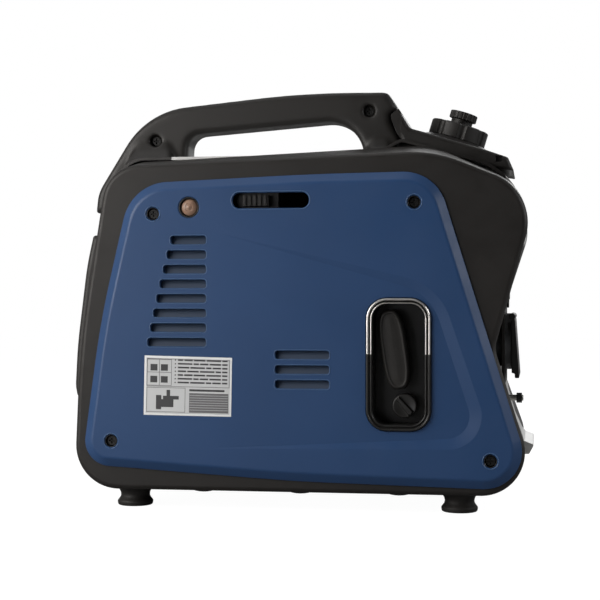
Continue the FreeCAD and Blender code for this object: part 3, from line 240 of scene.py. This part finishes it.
def surface(name, colour, roughness, *, tint=0.12, patch=9.0, grain=1400.0, bump=0.25, depth=0.00012,
            worn_and_sheen=None, wear_and_sheen=0.3, edge=0.0006, metallic=0.0, coat=0.0, spread_rough=0.08, specular=0.5):
    """Moulded or cast surface: slow colour patches, fine grain, lighter rubbed edges and uneven roughness; on
    the blue cover the lighter edges are partly rubbing and partly a painted highlight.
    """
    mat, tree, shader = new_material(name)
    coords = node(tree, "ShaderNodeTexCoord").outputs["Object"]
    light = [min(1.0, c * (1 + tint)) for c in colour]
    dark = [c * (1 - tint) for c in colour]
    patches = spread(tree, noise(tree, coords, patch, 4.0), 0, 1)
    body = blend_colours(tree, patches, dark, light)
    normal, edges = edge_mask(tree, edge)
    edge_patches = spread(tree, noise(tree, coords, 220.0, 5.0, 0.65), 0, wear_and_sheen, 0.42, 0.62)
    rub_and_sheen = node(tree, "ShaderNodeMath", operation="MULTIPLY")
    tree.links.new(edges, rub_and_sheen.inputs[0])
    tree.links.new(edge_patches, rub_and_sheen.inputs[1])
    # Lighter edge colour: rubbing on most finishes; on the blue cover it is also a painted highlight.
    worn_and_sheen = worn_and_sheen or [min(1.0, c * 1.8 + 0.03) for c in colour]
    tree.links.new(blend_colours(tree, rub_and_sheen.outputs[0], body, worn_and_sheen), shader.inputs["Base Color"])
    cloud = noise(tree, coords, 38.0, 6.0, 0.6)
    haze = spread(tree, cloud, roughness - spread_rough, roughness + spread_rough)
    tree.links.new(haze, shader.inputs["Roughness"])
    relief = node(tree, "ShaderNodeBump", {"Strength": bump, "Distance": depth})
    tree.links.new(noise(tree, coords, grain, 3.0, 0.55), relief.inputs["Height"])
    tree.links.new(normal, relief.inputs["Normal"])
    tree.links.new(relief.outputs["Normal"], shader.inputs["Normal"])
    shader.inputs["Metallic"].default_value = metallic
    shader.inputs["Coat Weight"].default_value = coat
    shader.inputs["Specular IOR Level"].default_value = specular
    return mat


MOULDED_BLACK = dict(tint=0.16, grain=1500.0, bump=0.35, wear_and_sheen=0.25, specular=0.38)
# Finish: colour, roughness and whatever else differs from a plain surface.
FINISHES = {
    "black_shell": ((0.0120, 0.0103, 0.0092), 0.50, MOULDED_BLACK),
    "black_handle": ((0.0120, 0.0106, 0.0096), 0.48, MOULDED_BLACK),
    # Blue cover: its light blue edge colour is partly rubbing and partly a painted highlight on the rims of
    # its wells and slots.
    "blue_cover": ((0.0215, 0.060, 0.158), 0.42,
                   dict(tint=0.05, specular=0.30, bump=0.12, grain=1800.0, worn_and_sheen=(0.075, 0.14, 0.28),
                        wear_and_sheen=0.35, edge=0.0009)),
    "silver_panel": ((0.62, 0.62, 0.61), 0.36, dict(tint=0.05, bump=0.08, metallic=0.35)),
    "black_trim": ((0.012, 0.0115, 0.011), 0.33, dict(bump=0.12, tint=0.10)),
    "chrome_trim": ((0.90, 0.87, 0.83), 0.30, dict(metallic=1.0, bump=0.05, tint=0.04, spread_rough=0.05)),
    "rubber": ((0.0130, 0.0115, 0.0105), 0.62, dict(specular=0.42, bump=0.4, grain=900.0, tint=0.2)),
    "primer_rubber": ((0.30, 0.185, 0.130), 0.38, dict(bump=0.2, tint=0.12, patch=160.0)),
    "screw_steel": ((0.035, 0.034, 0.033), 0.36, dict(metallic=0.8, bump=0.2, patch=300.0)),
    "zinc": ((0.55, 0.54, 0.50), 0.34, dict(metallic=1.0, bump=0.2, patch=200.0)),
    "cast_aluminium": ((0.46, 0.46, 0.46), 0.5, dict(metallic=0.9, bump=0.5, grain=600.0)),
    "steel": ((0.42, 0.42, 0.42), 0.32, dict(metallic=1.0, bump=0.15, patch=120.0)),
    "iron": ((0.18, 0.17, 0.16), 0.55, dict(metallic=0.8, bump=0.4, grain=700.0)),
    "muffler_steel": ((0.07, 0.068, 0.066), 0.62, dict(metallic=0.5, bump=0.4, grain=800.0)),
    "tank_plastic": ((0.52, 0.51, 0.45), 0.45, dict(bump=0.2, tint=0.06)),
    "grey_plastic": ((0.13, 0.135, 0.14), 0.48, dict(bump=0.25)),
    "red_plastic": ((0.42, 0.022, 0.018), 0.34, dict(bump=0.1, tint=0.07)),
    "green_lens": ((0.06, 0.33, 0.10), 0.22, dict(bump=0.05, tint=0.1, patch=200.0, coat=0.5)),
    "rope_fabric": ((0.03, 0.03, 0.03), 0.8, dict(bump=0.5, grain=900.0, patch=300.0)),
    "screw_black": ((0.014, 0.0135, 0.013), 0.34, dict(metallic=0.5, bump=0.2, patch=300.0)),
    # Lighter blue of the lips round the slots and wells: a painted highlight.
    "blue_lip": ((0.060, 0.125, 0.250), 0.36, dict(tint=0.06, bump=0.08, wear_and_sheen=0.2)),
    "slot_slate": ((0.030, 0.048, 0.085), 0.55, dict(bump=0.2, grain=900.0)),
    "plate_paper": ((0.60, 0.61, 0.62), 0.42, dict(tint=0.04, bump=0.05, wear_and_sheen=0.1)),
    "plate_white": ((0.86, 0.87, 0.87), 0.42, dict(tint=0.03, bump=0.05, wear_and_sheen=0.1)),
    "plate_ink": ((0.045, 0.045, 0.048), 0.45, dict(tint=0.10, bump=0.05, wear_and_sheen=0.1)),
    "plate_grey": ((0.15, 0.15, 0.155), 0.45, dict(tint=0.08, bump=0.05, wear_and_sheen=0.1)),
}


def make_materials():
    """Every finish by its name."""
    made = {}
    for name, (colour, roughness, settings) in FINISHES.items():
        made[name] = surface(name, colour, roughness, **settings)
    made["deck_painted_dark_ends"] = deck_painted_dark_ends()
    return made


def deck_painted_dark_ends():
    """Deck panel: silver along its middle; under the handle's feet and beyond it is painted black, a painted
    dark reflection of the feet.
    """
    mat = surface("deck_painted_dark_ends", (0.62, 0.62, 0.61), 0.36, tint=0.05, bump=0.08)
    tree = mat.node_tree
    shader = tree.nodes["Principled BSDF"]
    axes = node(tree, "ShaderNodeSeparateXYZ")
    tree.links.new(node(tree, "ShaderNodeTexCoord").outputs["Object"], axes.inputs[0])
    start, stop = (x * MM for x in DECK_SILVER)
    ends = [spread(tree, axes.outputs["X"], 0, 1, start - 0.2 * MM, start + 0.2 * MM),
            spread(tree, axes.outputs["X"], 1, 0, stop - 0.2 * MM, stop + 0.2 * MM)]
    silver = node(tree, "ShaderNodeMath", operation="MULTIPLY")
    for i, end in enumerate(ends):
        tree.links.new(end, silver.inputs[i])
    painted = shader.inputs["Base Color"].links[0].from_socket
    # The black at the ends is a painted dark reflection of the handle's feet.
    both = blend_colours(tree, silver.outputs[0], (0.020, 0.0185, 0.0175), painted)
    tree.links.new(both, shader.inputs["Base Color"])
    tree.links.new(spread(tree, silver.outputs[0], 0.0, 0.35, 0.0, 1.0), shader.inputs["Metallic"])
    return mat


def dress_cad(materials):
    """Every CAD node takes the finish of its own slot, but for the few in SPECIAL_FINISH."""
    for entry in frame["record"]["subparts"]:
        mesh = frame["nodes"][entry["node"]].data
        mesh.materials.clear()
        finish = SPECIAL_FINISH.get(entry["node"], entry["material_slot"])
        mesh.materials.append(materials[finish])


# ---------------------------------------------------------------- mesh helpers
def make_piece(name, verts, faces, finish, body="root", smooth=True):
    """New mesh object that rides on a body and wears a finish."""
    mesh = bpy.data.meshes.new(name)
    mesh.from_pydata([tuple(v) for v in verts], [], faces)
    mesh.validate()
    work = bmesh.new()
    work.from_mesh(mesh)
    bmesh.ops.remove_doubles(work, verts=work.verts, dist=1e-6)
    bmesh.ops.recalc_face_normals(work, faces=work.faces)
    work.to_mesh(mesh)
    work.free()
    piece = bpy.data.objects.new(name, mesh)
    bpy.context.scene.collection.objects.link(piece)
    if smooth:
        mesh.shade_smooth()
        mesh.set_sharp_from_angle(angle=math.radians(38))
    mesh.materials.append(MATERIALS[finish])
    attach(piece, body)
    return piece


def rounded_loop(x0, x1, z0, z1, r, steps=12):
    """Points and outward normals of a rounded rectangle in XZ, anticlockwise from the lower right."""
    loop = []
    corners = ((x1 - r, z0 + r, -90), (x1 - r, z1 - r, 0), (x0 + r, z1 - r, 90), (x0 + r, z0 + r, 180))
    for cx, cz, start in corners:
        for i in range(steps + 1):
            a = math.radians(start + 90 * i / steps)
            n = (math.cos(a), math.sin(a))
            loop.append(((cx + r * n[0], cz + r * n[1]), n))
    return loop


def sweep(loop, profile, closed=True):
    """Grid of points: each profile point is (distance inwards, y) at every point of the loop."""
    verts, faces = [], []
    count, wide = len(loop), len(profile)
    for (x, z), (nx, nz) in loop:
        for inset, y in profile:
            verts.append((x - nx * inset, y, z - nz * inset))
    for i in range(count if closed else count - 1):
        for j in range(wide):
            a, b = i * wide + j, i * wide + (j + 1) % wide
            c, d = ((i + 1) % count) * wide + (j + 1) % wide, ((i + 1) % count) * wide + j
            faces.append((a, b, c, d))
    if not closed:
        faces.append(tuple(range(wide)))
        faces.append(tuple((count - 1) * wide + j for j in range(wide)))
    return verts, faces


def rings(outlines):
    """Closed skin through a list of like outlines, capped at both ends."""
    verts = [v for ring in outlines for v in ring]
    n = len(outlines[0])
    faces = []
    for k in range(len(outlines) - 1):
        for i in range(n):
            a, b = k * n + i, k * n + (i + 1) % n
            faces.append((a, b, b + n, a + n))
    faces.append(tuple(range(n)))
    faces.append(tuple((len(outlines) - 1) * n + i for i in range(n)))
    return verts, faces


def lathe(centre, axis, profile, steps=48):
    """Turned solid: the profile is (radius, height along the axis)."""
    axis = Vector(axis).normalized()
    side = axis.orthogonal().normalized()
    up = axis.cross(side)
    outlines = []
    for r, h in profile:
        ring = []
        for i in range(steps):
            a = 2 * math.pi * i / steps
            ring.append(Vector(centre) + axis * h + (side * math.cos(a) + up * math.sin(a)) * max(r, 1e-5))
        outlines.append(ring)
    return rings(outlines)


def arc(cx, cy, r, start, stop, steps):
    """Points of an arc, for a profile."""
    return [(cx + r * math.cos(math.radians(start + (stop - start) * i / steps)),
             cy + r * math.sin(math.radians(start + (stop - start) * i / steps))) for i in range(steps + 1)]


def middle(name):
    """Centre of a CAD node's box."""
    lo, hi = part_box(name)
    return (lo + hi) / 2


def join(parts):
    """One list of points and faces from several."""
    verts, faces = [], []
    for v, f in parts:
        base = len(verts)
        verts += list(v)
        faces += [tuple(i + base for i in face) for face in f]
    return verts, faces


# ---------------------------------------------------------------- starter window
def bead(inset, height, radius):
    """Section of a round bead: its middle is that far in from the rim's outside and stands at that y."""
    return [(inset + u, height + v) for u, v in arc(0, 0, radius, 0, 337.5, 15)]


def starter_rim():
    """Rim of the window: two thin beads, chromed in the upper part, with a black groove between them all
    round; in the upper part that black is a painted dark reflection in the chrome.
    """
    lo_top, hi_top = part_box("recess_trim_chrome")
    lo_low, hi_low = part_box("recess_trim_black")
    front, back = lo_top.y, hi_top.y
    loop = rounded_loop(lo_low.x, hi_low.x, lo_low.z, hi_top.z, 20 * MM, 16)
    split, gap = lo_top.z, 0.15 * MM
    at = next(i for i, place in enumerate(loop) if place[0][1] > split)
    turned = loop[at:] + loop[:at]
    right, left = (1, 0), (-1, 0)
    upper = [place for place in loop if place[0][1] > split]
    upper = [((hi_top.x, split + gap), right)] + upper + [((lo_top.x, split + gap), left)]
    lower = [place for place in turned if place[0][1] <= split]
    lower = [((lo_low.x, split - gap), left)] + lower + [((hi_low.x, split - gap), right)]
    outer_bead = bead(1.45 * MM, front + 0.95 * MM, 0.95 * MM)
    inner_bead = bead(4.85 * MM, front + 1.65 * MM, 0.62 * MM)
    # Groove between the beads, black all round; in the chromed upper part this black is a painted dark
    # reflection.
    painted_dark_channel = [(0.1 * MM, back), (0.1 * MM, front + 1.5 * MM), (0.6 * MM, front + 1.1 * MM),
               (2.2 * MM, front + 1.5 * MM), (3.3 * MM, front + 2.6 * MM), (4.3 * MM, front + 1.9 * MM),
               (5.6 * MM, front + 1.8 * MM), (5.9 * MM, back)]
    chrome = join([sweep(upper, outer_bead, closed=False), sweep(upper, inner_bead, closed=False)])
    black = join([sweep(loop, painted_dark_channel), sweep(lower, outer_bead, closed=False),
                  sweep(lower, inner_bead, closed=False)])
    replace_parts(make_piece("rim_chrome", *chrome, "chrome_trim"), "recess_trim_chrome")
    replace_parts(make_piece("rim_black_and_painted_channel", *black, "black_trim"), "recess_trim_black")


def pull_grip():
    """Oval grip of the starter, leaning back a little, with a raised line round its face."""
    lo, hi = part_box("starter_grip")
    lean = math.radians(8.5)
    centre = Vector(((lo.x + hi.x) / 2, 0, (lo.z + hi.z) / 2))
    half_w, half_l = 12.9 * MM, 38.6 * MM
    face, back = lo.y, hi.y
    profile = [(12.6, back), (4.5, back), (1.6, back - 0.6 * MM), (0.4, back - 2.0 * MM),
               (0.0, back - 4.2 * MM), (0.0, face + 5.4 * MM), (0.25, face + 3.4 * MM),
               (0.9, face + 1.8 * MM), (1.8, face + 0.8 * MM), (2.6, face + 0.35 * MM),
               (3.2, face + 0.30 * MM), (3.7, face + 0.62 * MM), (4.2, face + 1.25 * MM),
               (5.0, face + 1.35 * MM), (8.0, face + 0.9 * MM), (12.6, face + 0.6 * MM)]
    outlines = []
    steps = 96
    for inset, y in profile:
        ring = []
        for i in range(steps):
            a = 2 * math.pi * i / steps
            c, s = math.cos(a), math.sin(a)
            u = (half_w - inset * MM) * math.copysign(abs(c) ** BLUNT, c)
            v = (half_l - inset * MM) * math.copysign(abs(s) ** BLUNT, s)
            x = centre.x + u * math.cos(lean) - v * math.sin(lean)
            z = centre.z + v * math.cos(lean) + u * math.sin(lean)
            ring.append((x, y, z))
        outlines.append(ring)
    verts, faces = rings(outlines)
    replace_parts(make_piece("pull_grip", verts, faces, "rubber", "grip"), "starter_grip")


def valve_knob():
    """Round knob of the fuel valve with a wedge-shaped pointer across its face."""
    x, _, z = middle("fuel_valve_knob")
    front = -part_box("fuel_valve_knob")[0].y
    radius, face = 11.8 * MM, front - 2.4 * MM
    edge = [(radius - 1.5 * MM + r, h) for r, h in arc(0, face - 1.5 * MM, 1.5 * MM, 0, 90, 6)]
    disc = lathe((x, 0, z), (0, -1, 0), [(0.1 * MM, 0.0985), (radius, 0.0985)] + edge
                 + [(radius - 3 * MM, face - 0.5 * MM), (0.1 * MM, face - 0.5 * MM)])
    stem = lathe((x, 0, z), (0, -1, 0), [(2.9 * MM, 0.075), (2.9 * MM, 0.099)], 20)
    turn = math.radians(-50)
    wedge = []
    for height, shrink in ((face - 1 * MM, 0.0), (front + 0.8 * MM, 0.6), (front + 1.6 * MM, 1.2)):
        ring = []
        for a, b in ((-10.4, -2.2), (9.8, -3.4), (10.8, 0), (9.8, 3.4), (-10.4, 2.2)):
            a, b = (a - math.copysign(shrink, a)) * MM, (b - math.copysign(shrink, b) * (b != 0)) * MM
            ring.append((x + a * math.cos(turn) - b * math.sin(turn), -height,
                         z + a * math.sin(turn) + b * math.cos(turn)))
        wedge.append(ring)
    verts, faces = join([disc, stem, rings(wedge)])
    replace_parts(make_piece("valve_knob", verts, faces, "black_trim", "valve_knob"), "fuel_valve_knob")


def twisted_rope():
    """Three-strand rope from the pulley to the grip."""
    lo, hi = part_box("starter_rope")
    middle_x, middle_z = (lo.x + hi.x) / 2, (lo.z + hi.z) / 2
    start, end = hi.y, lo.y
    lay, strand, offset = 11 * MM, 0.98 * MM, 1.0 * MM
    length = abs(end - start)
    count = int(length / (0.8 * MM))
    parts = []
    for s in range(3):
        outlines = []
        for i in range(count + 1):
            y = start + (end - start) * i / count
            turn = 2 * math.pi * (length * i / count / lay + s / 3)
            cx, cz = middle_x + offset * math.cos(turn), middle_z + offset * math.sin(turn)
            outlines.append([(cx + strand * math.cos(a), y, cz + strand * math.sin(a))
                             for a in (2 * math.pi * k / 10 for k in range(10))])
        parts.append(rings(outlines))
    verts, faces = join(parts)
    mesh = bpy.data.meshes.new("rope")
    mesh.from_pydata(verts, [], faces)
    mesh.shade_smooth()
    rope = bpy.data.objects.new("rope", mesh)
    bpy.context.scene.collection.objects.link(rope)
    mesh.materials.append(MATERIALS["rope_fabric"])
    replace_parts(rope, "starter_rope")
    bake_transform(rope)


# ---------------------------------------------------------------- handle
def moulded_handle():
    """Both halves of the handle remeshed as one skin and relaxed, so that its feet flow into the bar."""
    work = bmesh.new()
    for half in ("handle_left_half", "handle_right_half"):
        work.from_mesh(frame["nodes"][half].data)
    mesh = bpy.data.meshes.new("handle_rough")
    work.to_mesh(mesh)
    work.free()
    skin = bpy.data.objects.new("handle_skin", mesh)
    bpy.context.scene.collection.objects.link(skin)
    remesh = skin.modifiers.new("remesh", "REMESH")
    remesh.mode = "VOXEL"
    remesh.voxel_size = 1.8 * MM
    relax = skin.modifiers.new("relax", "SMOOTH")
    relax.factor = 0.5
    relax.iterations = 9
    settled = bpy.data.meshes.new_from_object(skin.evaluated_get(bpy.context.evaluated_depsgraph_get()))
    skin.modifiers.clear()
    skin.data = settled
    settled.shade_smooth()
    settled.materials.clear()
    settled.materials.append(MATERIALS["black_handle"])
    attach(skin, "root")
    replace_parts(skin, "handle_left_half", "handle_right_half")


# ---------------------------------------------------------------- side cover details
def hoop(centre, profile, steps=48):
    """Turned ring about the Y axis; its closed profile is (radius, y)."""
    verts, faces = [], []
    for r, y in profile:
        for i in range(steps):
            a = 2 * math.pi * i / steps
            verts.append((centre[0] + r * math.cos(a), y, centre[1] + r * math.sin(a)))
    rows = len(profile)
    for k in range(rows):
        for i in range(steps):
            j, below = (i + 1) % steps, (k + 1) % rows
            faces.append((k * steps + i, k * steps + j, below * steps + j, below * steps + i))
    return verts, faces


def screw_cups():
    """Black liners of the counterbores round the side covers' screws."""
    section = ((6.1, 0.6), (6.1, 6.1), (4.75, 6.1), (4.75, 5.7), (5.3, 5.3), (5.5, 0.9), (5.8, 0.6))
    parts = []
    for x, z in COVER_SCREWS:
        for side in (-1, 1):
            profile = [(r * MM, side * (FACE - depth * MM)) for r, depth in section]
            parts.append(hoop((x * MM, z * MM), profile))
    make_piece("screw_cups", *join(parts), "black_trim")


def slot_blades():
    """Slanted blade inside each slot of the recoil side's cover: deep at its top, shallow at its foot."""
    parts = []
    for left, right, top, count in SLOT_GROUPS:
        for i in range(count):
            z1 = top - i * SLOT_PITCH
            z0 = z1 - SLOT_H
            section = [(7.6, z1 + 0.5), (3.6, z0 - 0.5), (4.6, z0 - 0.5), (8.2, z1 + 0.1)]
            ends = []
            for x in (left - 1.5, right + 1.5):
                ends.append([(x * MM, -FACE + depth * MM, z * MM) for depth, z in section])
            parts.append(rings(ends))
    make_piece("slot_blades", *join(parts), "slot_slate", smooth=False)


def primer():
    """Soft bulb with a ribbed dome, in its black ring."""
    lo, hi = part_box("primer_bulb")
    centre = ((lo.x + hi.x) / 2, 0, (lo.z + hi.z) / 2)
    face = -lo.y
    profile = [(0.2, 0.108), (8.2, 0.108), (8.2, 0.1165), (7.9, 0.1172), (7.2, 0.1179),
               (6.0, 0.1187), (4.6, 0.1195), (3.9, 0.1198), (3.5, 0.1194), (3.0, 0.1196),
               (2.0, 0.1203), (0.6, face - 0.0001), (0.1, face)]
    verts, faces = lathe(centre, (0, -1, 0), [(r * MM, h) for r, h in profile])
    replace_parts(make_piece("primer_dome", verts, faces, "primer_rubber", "primer"), "primer_bulb")
    section = ((8.75, 6.5), (10.1, 6.5), (10.1, 1.0), (9.8, 0.6), (9.2, 0.6), (8.8, 1.0))
    ring = [(r * MM, -FACE + depth * MM) for r, depth in section]
    make_piece("primer_ring", *hoop((centre[0], centre[2]), ring), "black_trim")


def slot_places():
    """Left, right, foot and top of the slots; the rear ones follow the cover's sloping edge."""
    places = []
    _, right, top, count = SLOT_GROUPS[0]
    for i in range(count):
        z = top - i * SLOT_PITCH
        start = REAR_SLOT_START - REAR_SLOT_STEP * i + REAR_SLOT_EASE * i * i
        places.append((start, right, z - SLOT_H, z))
    left, right, top, count = SLOT_GROUPS[1]
    for i in range(count):
        z = top - i * SLOT_PITCH
        places.append((left, right, z - SLOT_H, z))
    return places


def lip(skin, edges, corner, proud=0.85, radius=0.36):
    """Fine bead on the cover's face, a little outside an opening's edges."""
    x0, x1, z0, z1 = edges
    loop = rounded_loop((x0 - proud) * MM, (x1 + proud) * MM, (z0 - proud) * MM, (z1 + proud) * MM,
                        (corner + proud) * MM, 10)
    verts, faces = [], []
    wide = 8
    for (x, z), (nx, nz) in loop:
        y = skin(x, z)
        for k in range(wide):
            a = 2 * math.pi * k / wide
            out = radius * MM * math.cos(a)
            verts.append((x + nx * out, y + radius * MM * math.sin(a), z + nz * out))
    rows = len(loop)
    for i in range(rows):
        for k in range(wide):
            j, n = (i + 1) % rows, (k + 1) % wide
            faces.append((i * wide + k, i * wide + n, j * wide + n, j * wide + k))
    return verts, faces


def cover_lips():
    """Rolled lips round the slots, the choke slot and the screw wells, in a lighter blue that is a painted
    highlight.
    """
    skin = cover_skin()
    parts = [lip(skin, edges, SLOT_CORNER) for edges in slot_places()]
    parts.append(lip(skin, CHOKE_SLOT, CHOKE_CORNER, 1.15, 0.45))
    for x, z in COVER_SCREWS:
        well = (x - SCREW_WELL, x + SCREW_WELL, z - SCREW_WELL, z + SCREW_WELL)
        parts.append(lip(skin, well, SCREW_WELL - 0.01, 1.35, 0.40))
    # The lips' lighter blue is a painted highlight on the rims.
    make_piece("cover_lips", *join(parts), "blue_lip")


# ---------------------------------------------------------------- rating plate
def cover_skin():
    """Function that gives the y of the recoil side cover's face at a place."""
    mesh = frame["nodes"]["recoil_side_cover"].data
    tree = BVHTree.FromPolygons([v.co for v in mesh.vertices], [p.vertices for p in mesh.polygons])

    def skin(x, z):
        return tree.ray_cast(Vector((x, -2 * FACE, z)), Vector((0, 1, 0)))[0].y
    return skin


def on_plate(skin, area, proud, cells=(1, 1)):
    """Thin slab on the rating plate; area is u0, u1, v0, v1 in fractions from its lower left corner."""
    u0, u1, v0, v1 = area
    nu, nv = cells
    low_l, low_r, top_l, top_r = (Vector(corner) * MM for corner in PLATE)
    verts, faces = [], []
    for lift in (proud, 0.0):
        for j in range(nv + 1):
            for i in range(nu + 1):
                u, v = u0 + (u1 - u0) * i / nu, v0 + (v1 - v0) * j / nv
                x, z = low_l.lerp(low_r, u).lerp(top_l.lerp(top_r, u), v)
                verts.append((x, skin(x, z) - lift * MM, z))
    wide = nu + 1
    back = wide * (nv + 1)
    for j in range(nv):
        for i in range(nu):
            a = j * wide + i
            faces.append((a, a + 1, a + wide + 1, a + wide))
            faces.append((back + a, back + a + wide, back + a + wide + 1, back + a + 1))
    rim = [i for i in range(wide)] + [j * wide + nu for j in range(1, nv + 1)]
    rim += [nv * wide + i for i in range(nu - 1, -1, -1)] + [j * wide for j in range(nv - 1, 0, -1)]
    for a, b in zip(rim, rim[1:] + rim[:1]):
        faces.append((a, b, back + b, back + a))
    return verts, faces


def text_bars():
    """Seven lines of dashes that stand for small print."""
    bars = []
    for row in range(7):
        v = 0.925 - row * 0.063
        u = 0.35
        bars.append((u, u + 0.012, v, v + 0.022))
        u += 0.035
        for word in range(5):
            length = 0.06 + 0.035 * ((row * 3 + word * 5) % 4)
            stop = min(u + length, 0.95)
            if stop - u > 0.02:
                bars.append((u, stop, v, v + 0.027))
            u = stop + 0.014
    return bars


def frame_lines(u0, u1, v0, v1):
    """Four thin lines round an area of the plate."""
    du, dv = 0.005, 0.008
    return [(u0, u1, v0, v0 + dv), (u0, u1, v1 - dv, v1), (u0, u0 + du, v0, v1), (u1 - du, u1, v0, v1)]


def plate_layer(skin, name, areas, layer, cells, finish):
    """Flat shapes of one layer of the rating plate, joined into one piece."""
    slabs = [on_plate(skin, area, PLATE_LAYERS[layer], cells) for area in areas]
    make_piece(name, *join(slabs), finish, smooth=False)


def rating_plate():
    """Plain plate with a white border, a few plain shapes, bars for print and a table of lines."""
    skin = cover_skin()
    plate_layer(skin, "plate_border", [(0, 1, 0, 1)], "border", (20, 12), "plate_white")
    plate_layer(skin, "plate_field", [(0.022, 0.978, 0.034, 0.966)], "field", (20, 12), "plate_paper")
    shapes = [(0.07 + a * 0.12, 0.15 + a * 0.12, 0.55 + b * 0.20, 0.66 + b * 0.20)
              for a in (0, 1) for b in (0, 1)]
    shapes += [(0.14, 0.20, 0.10, 0.34), (0.20, 0.34, 0.14, 0.27), (0.22, 0.40, 0.27, 0.33),
               (0.26, 0.30, 0.33, 0.43)]
    shapes.append((0.52, 0.92, 0.415, 0.450))
    plate_layer(skin, "plate_shapes", shapes, "print", (6, 2), "plate_ink")
    plate_layer(skin, "plate_text", text_bars(), "print", (3, 1), "plate_ink")
    lines = frame_lines(0.03, 0.315, 0.50, 0.945) + frame_lines(0.03, 0.975, 0.485, 0.955)
    lines += frame_lines(0.03, 0.475, 0.055, 0.47)
    lines += [(0.03, 0.315, 0.72, 0.728), (0.172, 0.177, 0.50, 0.945)]
    plate_layer(skin, "plate_lines", lines, "lines", (10, 4), "plate_grey")
    plate_layer(skin, "plate_table", [(0.52, 0.965, 0.055, 0.385)], "print", (10, 6), "plate_grey")
    rules = [(0.525, 0.96, 0.055 + i * 0.041, 0.062 + i * 0.041) for i in range(1, 8)]
    plate_layer(skin, "plate_rules", rules, "rules", (10, 1), "plate_paper")


# ---------------------------------------------------------------- scene
make_camera()
make_world()
make_lights()
MATERIALS = make_materials()
make_floor()
dress_cad(MATERIALS)
moulded_handle()
starter_rim()
pull_grip()
valve_knob()
twisted_rope()
screw_cups()
slot_blades()
cover_lips()
primer()
rating_plate()
